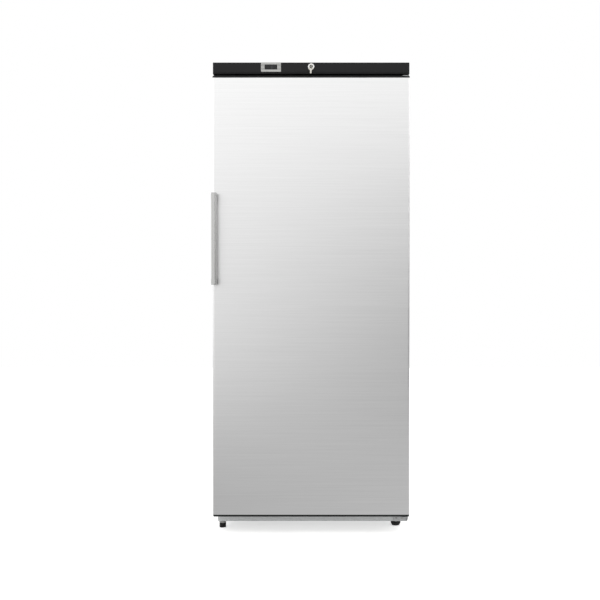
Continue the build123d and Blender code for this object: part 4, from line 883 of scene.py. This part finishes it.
def tubeTree():
    # a drawn route becomes a round tube, and each next shelf is turned over, so that its ends swap sides
    tree, given = startTree("tubeShelves", {"tubeRadius": "Float", "shelfCount": "Int", "shelfStep": "Vector",
                                            "start": "Vector"})
    curve = addNode(tree, "GeometryNodeMeshToCurve", {"Mesh": given["Geometry"]})
    section = addNode(tree, "GeometryNodeCurvePrimitiveCircle", {"Resolution": 16,
                                                                 "Radius": given["tubeRadius"]})
    tube = addNode(tree, "GeometryNodeCurveToMesh", {"Curve": curve.outputs[0],
                                                     "Profile Curve": section.outputs[0], "Fill Caps": True})
    stack = addNode(tree, "GeometryNodeMeshLine", {"Count": given["shelfCount"],
                                                   "Start Location": given["start"],
                                                   "Offset": given["shelfStep"]})
    number = addNode(tree, "GeometryNodeInputIndex")
    odd = addNode(tree, "ShaderNodeMath", {0: number.outputs[0], 1: 2.0}, operation="MODULO")
    turn = addNode(tree, "ShaderNodeMath", {0: odd.outputs[0], 1: math.pi}, operation="MULTIPLY")
    over = addNode(tree, "ShaderNodeCombineXYZ", {"Y": turn.outputs[0]})
    shelves = addNode(tree, "GeometryNodeInstanceOnPoints", {
        "Points": stack.outputs[0], "Instance": tube.outputs[0], "Rotation": over.outputs[0]})
    return endTree(tree, shelves, "whiteTubeEpoxy")


def wireTree():
    # wires that run front to back, set out in a row, repeated on two levels and on every shelf
    tree, given = startTree("wireShelves", {
        "wireCount": "Int", "wireStep": "Vector", "wireLength": "Float", "wireRadius": "Float",
        "levelCount": "Int", "levelStep": "Vector", "shelfCount": "Int", "shelfStep": "Vector",
        "start": "Vector"})
    wire = addNode(tree, "GeometryNodeMeshCylinder", {"Vertices": 10, "Radius": given["wireRadius"],
                                                      "Depth": given["wireLength"]})
    made = addNode(tree, "GeometryNodeTransform", {
        "Geometry": wire.outputs["Mesh"], "Rotation": (math.pi / 2, 0, 0), "Translation": given["start"]})
    for thing in ("wire", "level", "shelf"):
        line = addNode(tree, "GeometryNodeMeshLine", {
            "Count": given[thing + "Count"], "Start Location": (0, 0, 0), "Offset": given[thing + "Step"]})
        made = addNode(tree, "GeometryNodeInstanceOnPoints", {"Points": line.outputs[0],
                                                              "Instance": made.outputs[0]})
    return endTree(tree, made, "whiteTubeEpoxy")


def shelfRoute(reach, rear, front, straight, corner, bends):
    # the passes of one shelf in plan, from one riser to the other
    radius = (rear - front) / bends / 2
    route = [(-reach, rear)]
    for number in range(bends):
        side = 1 if number % 2 == 0 else -1
        route += arc(side * straight, rear - (2 * number + 1) * radius, side * radius, radius, 90, -90)
    return route + arc(reach - corner, front + corner, corner, corner, -90, 0, steps=6) + [(reach, rear)]


def buildShelves():
    low, high = box("evaporator_tubes")
    wireLow, wireHigh = box("evaporator_wires")
    shelf = {"count": 6, "bends": 6, "tube": 4.0, "wire": 1.5, "wirePitch": 12.0, "overhang": 16.0,
             "corner": 18.0, "play": 0.6}
    tube, wire = shelf["tube"], shelf["wire"]
    edge = tube + shelf["play"]
    stack = {"shelfCount": shelf["count"],
             "shelfStep": (0, 0, mm(high.z - low.z - 2 * tube) / (shelf["count"] - 1))}
    route = shelfRoute(high.x - edge, high.y - edge, low.y + edge, wireHigh.x + shelf["overhang"] - wire,
                       shelf["corner"], shelf["bends"])
    line = bpy.data.meshes.new("route")
    line.from_pydata([(mm(x), mm(y), 0) for x, y in route], [(i, i + 1) for i in range(len(route) - 1)], [])
    tubes = grown(tubeTree(), {"tubeRadius": mm(tube), "start": (0, 0, mm(low.z + tube)), **stack}, line)
    addPiece("evaporatorTubing", tubes, "whiteTubeEpoxy", "evaporator_tubes", sharpDegrees=60)
    half = wireHigh.x - wire
    count = int(2 * half / shelf["wirePitch"]) + 1
    wires = grown(wireTree(), {
        "wireCount": count, "wireStep": (mm(2 * half) / (count - 1), 0, 0),
        "wireLength": mm(wireHigh.y - wireLow.y), "wireRadius": mm(wire),
        "levelCount": 2, "levelStep": (0, 0, mm(2 * tube + 2 * wire)),
        "start": (mm(-half), mm((wireLow.y + wireHigh.y) / 2), mm(wireLow.z + wire)), **stack})
    addPiece("evaporatorWirework", wires, "whiteTubeEpoxy", "evaporator_wires", sharpDegrees=60)
    print("shelves wired:", count, "wires a side")


# Condenser: a hairpin coil through close fins, held by two end plates with feet

condenser = {"stub": 12.0, "pipe": 4.3, "lift": 24.8, "half": 108.0, "passes": 3, "finPitch": 6.0, "fin": 0.5,
             "finShort": 1.0, "plate": 2.0, "plateIn": 6.0, "foot": 9.0, "footIn": 4.0, "edge": 0.4}


def condenserLevels():
    # the heights of the coil's straight passes
    low, high = box("condenser")
    bottom = low.z + condenser["lift"]
    share = (high.z - bottom) / (2 * condenser["passes"])
    return [bottom + share * (2 * number + 1) for number in range(condenser["passes"])]


def finTree():
    tree, given = startTree("condenserFins", {"finCount": "Int", "finStep": "Vector", "finSize": "Vector",
                                              "start": "Vector"})
    fin = addNode(tree, "GeometryNodeMeshCube", {"Size": given["finSize"]})
    row = addNode(tree, "GeometryNodeMeshLine", {"Count": given["finCount"], "Start Location": given["start"],
                                                 "Offset": given["finStep"]})
    fins = addNode(tree, "GeometryNodeInstanceOnPoints", {"Points": row.outputs[0],
                                                          "Instance": fin.outputs[0]})
    return endTree(tree, fins, "blackDipEnamel")


def buildCondenser():
    low, high = box("condenser")
    pack, levels, y = condenser, condenserLevels(), (low.y + high.y) / 2
    left, right = (middle("fan_motor").x + side * pack["half"] for side in (-1, 1))
    bend = high.x - pack["pipe"] - right
    route = [(left - pack["stub"], levels[0])]
    for number, (lower, upper) in enumerate(zip(levels, levels[1:])):
        side = 1 if number % 2 == 0 else -1
        route += arc(right if side > 0 else left, (lower + upper) / 2, side * bend, (upper - lower) / 2,
                     -90, 90)
    route.append((right + pack["stub"], levels[-1]))
    coil = swept([Vector((x, y, z)) for x, z in route], pack["pipe"])
    first, last, bottom = left + pack["foot"], right - pack["foot"], low.z + pack["lift"]
    count = int((last - first) / pack["finPitch"]) + 1
    fins = grown(finTree(), {
        "finCount": count, "finStep": (mm(last - first) / (count - 1), 0, 0),
        "finSize": (mm(pack["fin"]), mm(high.y - low.y - pack["finShort"]),
                    mm(high.z - bottom - pack["finShort"])),
        "start": (mm(first), mm(y), mm((high.z + bottom) / 2))})
    plates, thick, foot, footIn = [], pack["plate"], pack["foot"], pack["footIn"]
    for x in (left + pack["plateIn"], right - pack["plateIn"]):
        for blockLow, blockHigh in (
                ((x - thick / 2, low.y, low.z), (x + thick / 2, high.y, high.z)),
                ((x - foot, low.y + footIn, low.z), (x + foot, high.y - footIn, low.z + thick))):
            plates.append(roundedBlock(blockLow, blockHigh, pack["edge"], segments=2))
    addPiece("condenserPack", joined([coil, fins] + plates), "blackDipEnamel", "condenser")
    print("condenser finned:", count)


# Compressor: a welded pot with a domed lid on a pressed plate, with its box and its rubber feet

pot = {"radius": 74.0, "inner": 31.0, "bowl": 34.0, "dome": 43.0, "lidStep": 1.6,
       "seamAt": 0.45, "seamRim": 2.8, "seamTall": 5.0,
       "plateLift": 6.0, "plate": 3.0, "plateEdge": 1.2, "boxEdge": 2.4}
grommet = {"acrossX": 88.0, "acrossY": 52.0, "bore": 3.0, "rim": 9.4, "neck": 6.9, "neckTall": 3.4,
           "neckUp": 2.0, "edge": 0.9}


def potSeam():
    low, high = box("compressor")
    return low.z + (high.z - low.z) * pot["seamAt"]


def buildCompressor():
    low, high = box("compressor")
    centre = middle("compressor") * Vector((1, 1, 0))
    radius, inner, seam, rim = pot["radius"], pot["inner"], potSeam(), pot["radius"] + pot["seamRim"]
    lid, weldTop = radius - pot["lidStep"], seam + pot["seamTall"]
    bowl = arc(inner, low.z + pot["bowl"], radius - inner, pot["bowl"], -90, 0)
    dome = arc(inner, high.z - pot["dome"], lid - inner, pot["dome"], 0, 90)
    weld = softened([(radius, seam), (rim, seam), (rim, weldTop), (lid, weldTop)], [0, 1, 1, 0])
    shell = lathe(bowl + weld + dome, centre, steps=72)
    plateZ = low.z + pot["plateLift"]
    plate = roundedBlock((low.x, low.y, plateZ), (high.x, high.y, plateZ + pot["plate"]), pot["plateEdge"],
                         segments=2)
    addPiece("compressorPot", joined([shell, plate]), "blackDipEnamel", "compressor")
    cover = roundedBlock(*box("terminal_box"), pot["boxEdge"], segments=4)
    addPiece("terminalCover", cover, "darkMouldedAbs", "terminal_box")
    low, high = box("compressor_grommets")
    bore, rim, neck = grommet["bore"], grommet["rim"], grommet["neck"]
    neckMiddle, half = (low.z + high.z) / 2 + grommet["neckUp"], grommet["neckTall"] / 2
    section = softened([(bore, low.z), (rim, low.z), (rim, neckMiddle - half), (neck, neckMiddle - half),
                        (neck, neckMiddle + half), (rim, neckMiddle + half), (rim, high.z), (bore, high.z)],
                       grommet["edge"])
    rubbers = [lathe(section, centre + Vector((x, y, 0)), steps=32, hollow=True)
               for x in (-grommet["acrossX"], grommet["acrossX"])
               for y in (-grommet["acrossY"], grommet["acrossY"])]
    addPiece("rubberGrommets", joined(rubbers), "blackNbr", "compressor_grommets")
    print("compressor closed")


# Fan: five twisted blades on a hub, turned by a shaded-pole motor

fan = {"hub": 20.0, "hubHalf": 8.0, "hubEdges": [0.3, 4.5, 1.0, 0.3], "bore": 3.05, "blades": 5, "root": 18.0,
       "tip": 76.0, "span": 0.40, "belly": 0.16, "sweep": 0.22, "rise": 15.5, "flatten": 0.25, "camber": 1.6,
       "thick": 1.2, "steps": 8}


def bladeMesh(centre, y, base):
    # a grid of points from root to tip and from edge to edge, on both faces of a curved blade
    steps = fan["steps"]
    corners, at = [], {}
    for side in (-0.5, 0.5):
        for i in range(steps + 1):
            out = i / steps
            radius = fan["root"] + (fan["tip"] - fan["root"]) * out
            span = fan["span"] + fan["belly"] * math.sin(math.pi * out)
            for j in range(steps + 1):
                chord = j / steps - 0.5
                angle = base + chord * 2 * span + fan["sweep"] * out
                lift = chord * fan["rise"] * (1 - fan["flatten"] * out) + fan["camber"] * (1 - 4 * chord ** 2)
                at[side, i, j] = len(corners)
                corners.append((centre.x + radius * math.cos(angle), y + lift + side * fan["thick"],
                                centre.z + radius * math.sin(angle)))
    faces = [tuple(at[side, i + di, j + dj] for di, dj in ((0, 0), (1, 0), (1, 1), (0, 1)))
             for side in (-0.5, 0.5) for i in range(steps) for j in range(steps)]
    rim = [(i, 0) for i in range(steps)] + [(steps, j) for j in range(steps)]
    rim += [(steps - i, steps) for i in range(steps)] + [(0, steps - j) for j in range(steps)]
    for here, there in zip(rim, rim[1:] + rim[:1]):
        faces.append((at[-0.5, *here], at[-0.5, *there], at[0.5, *there], at[0.5, *here]))
    return meshOf(corners, faces)


def buildFan():
    centre = middle("fan_motor") * Vector((1, 0, 1))
    y, bore, hub, half = middle("condenser_fan").y, fan["bore"], fan["hub"], fan["hubHalf"]
    section = softened([(bore, y - half), (hub, y - half), (hub, y + half), (bore, y + half)],
                       fan["hubEdges"])
    wheel = [lathe(section, centre, "Y", hollow=True)]
    wheel += [bladeMesh(centre, y, base) for base in turns(fan["blades"])]
    addPiece("axialFanWheel", joined(wheel), "blackFanPbt", "condenser_fan", sharpDegrees=40)
    low, high = box("fan_motor")
    motor = {"pole": 1.0, "shaft": 2.95, "body": 34.0, "belt": 0.8, "beltAt": 17.0, "beltHalf": 1.0,
             "edges": [0, 0.3, 0, 6.0, 0.2, 0.2, 0.2, 3.0, 0]}
    pole, shaft, half, radius = motor["pole"], motor["shaft"], motor["beltHalf"], (high.x - low.x) / 2
    front, belt = high.y - motor["body"], high.y - motor["beltAt"]
    shape = softened([(pole, low.y), (shaft, low.y), (shaft, front), (radius, front), (radius, belt - half),
                      (radius - motor["belt"], belt), (radius, belt + half), (radius, high.y),
                      (pole, high.y)], motor["edges"])
    addPiece("shadedPoleMotor", lathe(shape, centre, "Y"), "motorCastZinc", "fan_motor")
    print("fan balanced")


# Copper lines and drier: bent tube from the pot to the coil and up into the cabinet

def buildPipes():
    low, high = box("refrigerant_pipes")
    line = {"radius": 2.9, "bend": 8.0, "spout": 68.0, "stand": 120.0, "intoCoil": 19.0,
            "dischargeY": -10.0, "dischargeRise": 30.0, "suctionY": 24.0, "suctionRise": 44.0,
            "suctionStep": 16.75, "suctionIn": 20.0, "suctionPast": 4.0, "liquidSide": 60.0}
    pump, drier, coilY, seam = middle("compressor"), middle("filter_drier"), middle("condenser").y, potSeam()
    spout, out = pump.x + line["spout"], pump.x + line["stand"]
    y, level, coil = pump.y + line["dischargeY"], seam + line["dischargeRise"], condenserLevels()[0]
    discharge = [(spout, y, level), (out, y, level), (out, y, coil), (out, coilY, coil),
                 (box("condenser")[0].x + line["intoCoil"], coilY, coil)]
    y, level, out = pump.y + line["suctionY"], seam + line["suctionRise"], out - line["suctionIn"]
    over, past = level + line["suctionStep"], coilY - line["suctionPast"]
    suction = [(spout, y, level), (out, y, level), (out, y, over), (out, past, over), (out, past, high.z)]
    drierLow, drierHigh = box("filter_drier")
    y, under, side = low.y + line["radius"], low.z + line["radius"], drier.x - line["liquidSide"]
    liquid = [(drier.x, drier.y, drierLow.z), (drier.x, drier.y, under), (drier.x, y, under),
              (side, y, under), (side, y, high.z)]
    tubes = [swept(bent(route, line["bend"]), line["radius"]) for route in (discharge, suction, liquid)]
    addPiece("copperLines", joined(tubes), "drawnCopperTube", "refrigerant_pipes", sharpDegrees=60)
    can = {"pole": 0.5, "neck": 3.4, "neckTall": 10.0, "spun": 12.0, "edges": [0, 0.4, 3.0, 5.0]}
    neckEnd, radius, edges = can["neckTall"], (drierHigh.x - drierLow.x) / 2, can["edges"]
    foot = [(can["pole"], 0), (can["neck"], 0), (can["neck"], neckEnd), (radius, neckEnd + can["spun"])]
    shape = [(r, drierLow.z + d) for r, d in foot] + [(r, drierHigh.z - d) for r, d in reversed(foot)]
    drum = lathe(softened(shape, edges + edges[::-1]), drier * Vector((1, 1, 0)), steps=40)
    addPiece("spunDrier", drum, "drawnCopperTube", "filter_drier")
    print("lines brazed")


# Evaporation tray: a thin moulded dish with a rim

def buildTray():
    low, high = box("evaporation_tray")
    tray = {"corner": 12.0, "wall": 2.0, "floor": 2.0, "rim": 0.4, "rimTall": 3.5, "edge": 0.6}
    plan = softened([(low.x, low.y), (high.x, low.y), (high.x, high.y), (low.x, high.y)], tray["corner"],
                    steps=8)
    wall, edge, rim = tray["wall"], tray["edge"], tray["rim"]
    bead, floor = high.z - tray["rimTall"], low.z + tray["floor"]
    sections = [(rim + edge, low.z), (rim, low.z + edge), (rim, bead), (0, bead + edge), (0, high.z - edge),
                (edge, high.z), (wall - edge, high.z), (wall, high.z - edge), (wall, floor + edge),
                (wall + edge, floor)]
    dish = skin([[(x, y, z) for x, y in inset(plan, drawn)] for drawn, z in sections])
    addPiece("mouldedTray", dish, "darkMouldedAbs", "evaporation_tray")
    print("tray moulded")


# Screw heads: one pressed head with a cross recess, set at a random turn on every place a screw has

def crossHead(radius, height):
    # a pan head that lies on the XY plane and faces up
    head = {"pole": 0.02, "shoulder": 0.6, "arm": 0.56, "wide": 0.10, "deep": 0.65}
    shoulder, arm, wide = height * head["shoulder"], radius * head["arm"], radius * head["wide"]
    dome = softened([(head["pole"], 0), (radius, 0), (radius, height), (head["pole"], height)],
                    [0, 0, shoulder, 0])
    pan = lathe(dome, (0, 0, 0), steps=40)
    bottom = height * (1 - head["deep"])
    for x, y in ((arm, wide), (wide, arm)):
        pan = carved(pan, roundedBlock((-x, -y, bottom), (x, y, height + overshoot), wide / 3, segments=1))
    return pan


def screwTree():
    tree, given = startTree("screwHeads", {"head": "Object", "facing": "Vector", "seed": "Int"})
    head = addNode(tree, "GeometryNodeObjectInfo", {"Object": given["head"]})
    turn = addNode(tree, "FunctionNodeRandomValue", {2: 0.0, 3: math.pi / 2, "Seed": given["seed"]},
                   data_type="FLOAT")
    about = addNode(tree, "ShaderNodeCombineXYZ", {"Z": turn.outputs[1]})
    spun = addNode(tree, "FunctionNodeEulerToRotation", {0: about.outputs[0]})
    facing = addNode(tree, "FunctionNodeEulerToRotation", {0: given["facing"]})
    both = addNode(tree, "FunctionNodeRotateRotation", {"Rotation": facing.outputs[0],
                                                        "Rotate By": spun.outputs[0]}, rotation_space="LOCAL")
    heads = addNode(tree, "GeometryNodeInstanceOnPoints", {
        "Points": given["Geometry"], "Instance": head.outputs["Geometry"], "Rotation": both.outputs[0]})
    return endTree(tree, heads, "brightZincScrew")


def setScrews(tree, name, node, radius, height, facing, places, seed):
    head = held("head", crossHead(radius, height))
    points = bpy.data.meshes.new("places")
    points.from_pydata([Vector(place) / 1000 for place in places], [], [])
    heads = grown(tree, {"head": head, "facing": facing, "seed": seed}, points)
    bpy.data.objects.remove(head)
    addPiece(name, heads, "brightZincScrew", node)


def buildScrews():
    tree = screwTree()
    screw = {"handle": 3.15, "handlePitch": 11.0, "hinge": 4.45, "cover": 3.45, "coverTall": 2.2,
             "coverPitch": 243.3}
    radius, pitch = screw["handle"], screw["handlePitch"]
    low, high = box("handle_screws")
    levels = [low.z + radius, low.z + radius + pitch, high.z - radius - pitch, high.z - radius]
    setScrews(tree, "handleScrewHeads", "handle_screws", radius, high.x - low.x, (0, -math.pi / 2, 0),
              [(high.x, (low.y + high.y) / 2, z) for z in levels], seed=3)
    low, high = box("hinge_screws")
    radius = screw["hinge"]
    setScrews(tree, "hingeScrewHeads", "hinge_screws", radius, high.y - low.y, (math.pi / 2, 0, 0),
              [(x, high.y, z) for x in (low.x + radius, high.x - radius)
               for z in (low.z + radius, high.z - radius)], seed=4)
    low, high = box("rear_cover_screws")
    radius, pitch, tall = screw["cover"], screw["coverPitch"], screw["coverTall"]
    columns = [low.x + radius, low.x + radius + pitch, high.x - radius - pitch, high.x - radius]
    setScrews(tree, "rearScrewHeads", "rear_cover_screws", radius, tall, (-math.pi / 2, 0, 0),
              [(x, high.y - tall, z) for x in columns for z in (low.z + radius, high.z - radius)], seed=5)
    print("screws driven")


# Moulded, pressed and cast pieces: the solid as it was built, with the edges that its making leaves round

# mergeWithin is in metres, as the frame's meshes are
rounding = {"mergeWithin": 1e-5, "flatDegrees": 0.5, "sharpDegrees": 38, "segments": 2}


def edgesRounded(node, edge, least=0.0):
    # a copy of a solid's faces, its flat ones joined again, with its sharp edges rounded to the radius
    # the tightest place holds every edge back, so an edge that meets one shorter than the least stays sharp
    bm = bmesh.new()
    bm.from_mesh(nodes[node].data)
    bmesh.ops.remove_doubles(bm, verts=bm.verts, dist=rounding["mergeWithin"])
    bmesh.ops.dissolve_limit(bm, angle_limit=math.radians(rounding["flatDegrees"]), verts=bm.verts,
                             edges=bm.edges)
    tight = {vert for e in bm.edges if e.calc_length() < mm(least) for vert in e.verts}
    limit = math.radians(rounding["sharpDegrees"])
    sharp = [e for e in bm.edges if len(e.link_faces) == 2 and e.calc_face_angle() > limit
             and not tight.intersection(e.verts)]
    bmesh.ops.bevel(bm, geom=sharp, offset=mm(edge), segments=rounding["segments"], profile=0.5,
                    affect="EDGES", clamp_overlap=True)
    mesh = bpy.data.meshes.new("shape")
    bm.to_mesh(mesh)
    bm.free()
    return mesh


edgePieces = {  # node: its piece, its finish, its edge radius and, on a finely cut solid, its least edge
    "handle_brackets": ("castBrackets", "castGreyBracket", 1.4),
    # the base rails' pale finish is partly painted light
    "base_frame": ("baseRailPressings", "paleZincRail", 0.6),
    "header_housing": ("headerMoulding", "sparkGrainAbs", 1.0, 2.5),
    "door_top_cap": ("topCapMoulding", "sparkGrainAbs", 0.4),
    "door_bottom_cap": ("bottomCapMoulding", "sparkGrainAbs", 0.4),
    "controller_bezel": ("controllerFrame", "satinGreyAbs", 0.7),
    "rear_cover": ("rearCoverPressing", "zincSpangleSheet", 0.3),
    "door_gasket": ("gasketProfile", "greyVinyl", 1.0),
    "top_hinge": ("topHingePressing", "satinHingeSteel", 0.5, 1.2),
    "bottom_hinge": ("bottomHingePressing", "satinHingeSteel", 0.5, 1.2),
    "hinge_bushes": ("hingeBushings", "darkMouldedAbs", 0.3),
    "hinge_washer": ("hingeWasherDisc", "darkMouldedAbs", 0.3),
    "mains_inlet": ("inletGland", "darkMouldedAbs", 0.6),
    "lock_nut": ("lockHexNut", "brightZincScrew", 0.5),
    "lock_cam": ("lockCamPressing", "brightZincScrew", 0.4),
    "foot_nuts": ("footHexNuts", "brightZincScrew", 0.5),
    "roller_forks": ("rollerForkPressings", "brightZincScrew", 0.4),
    "fan_bracket": ("fanShroudPressing", "zincSpangleSheet", 0.4),
    "inner_liner": ("linerForming", "whiteHips", 1.1),
    "door_liner": ("doorPanForming", "whiteHips", 1.1),
    "outer_wrapper": ("wrapperFolding", "stuccoCoatedSteel", 0.35),
    "compressor_plate": ("deckPressing", "zincSpangleSheet", 0.4),
    "shelf_trims": ("shelfTrimMouldings", "whiteHips", 0.7),
}


buildShelves()
buildCondenser()
buildCompressor()
buildFan()
buildPipes()
buildTray()
buildScrews()
for node, (name, finish, *edges) in edgePieces.items():
    addPiece(name, edgesRounded(node, *edges), finish, node)
print("edges rounded:", len(edgePieces))
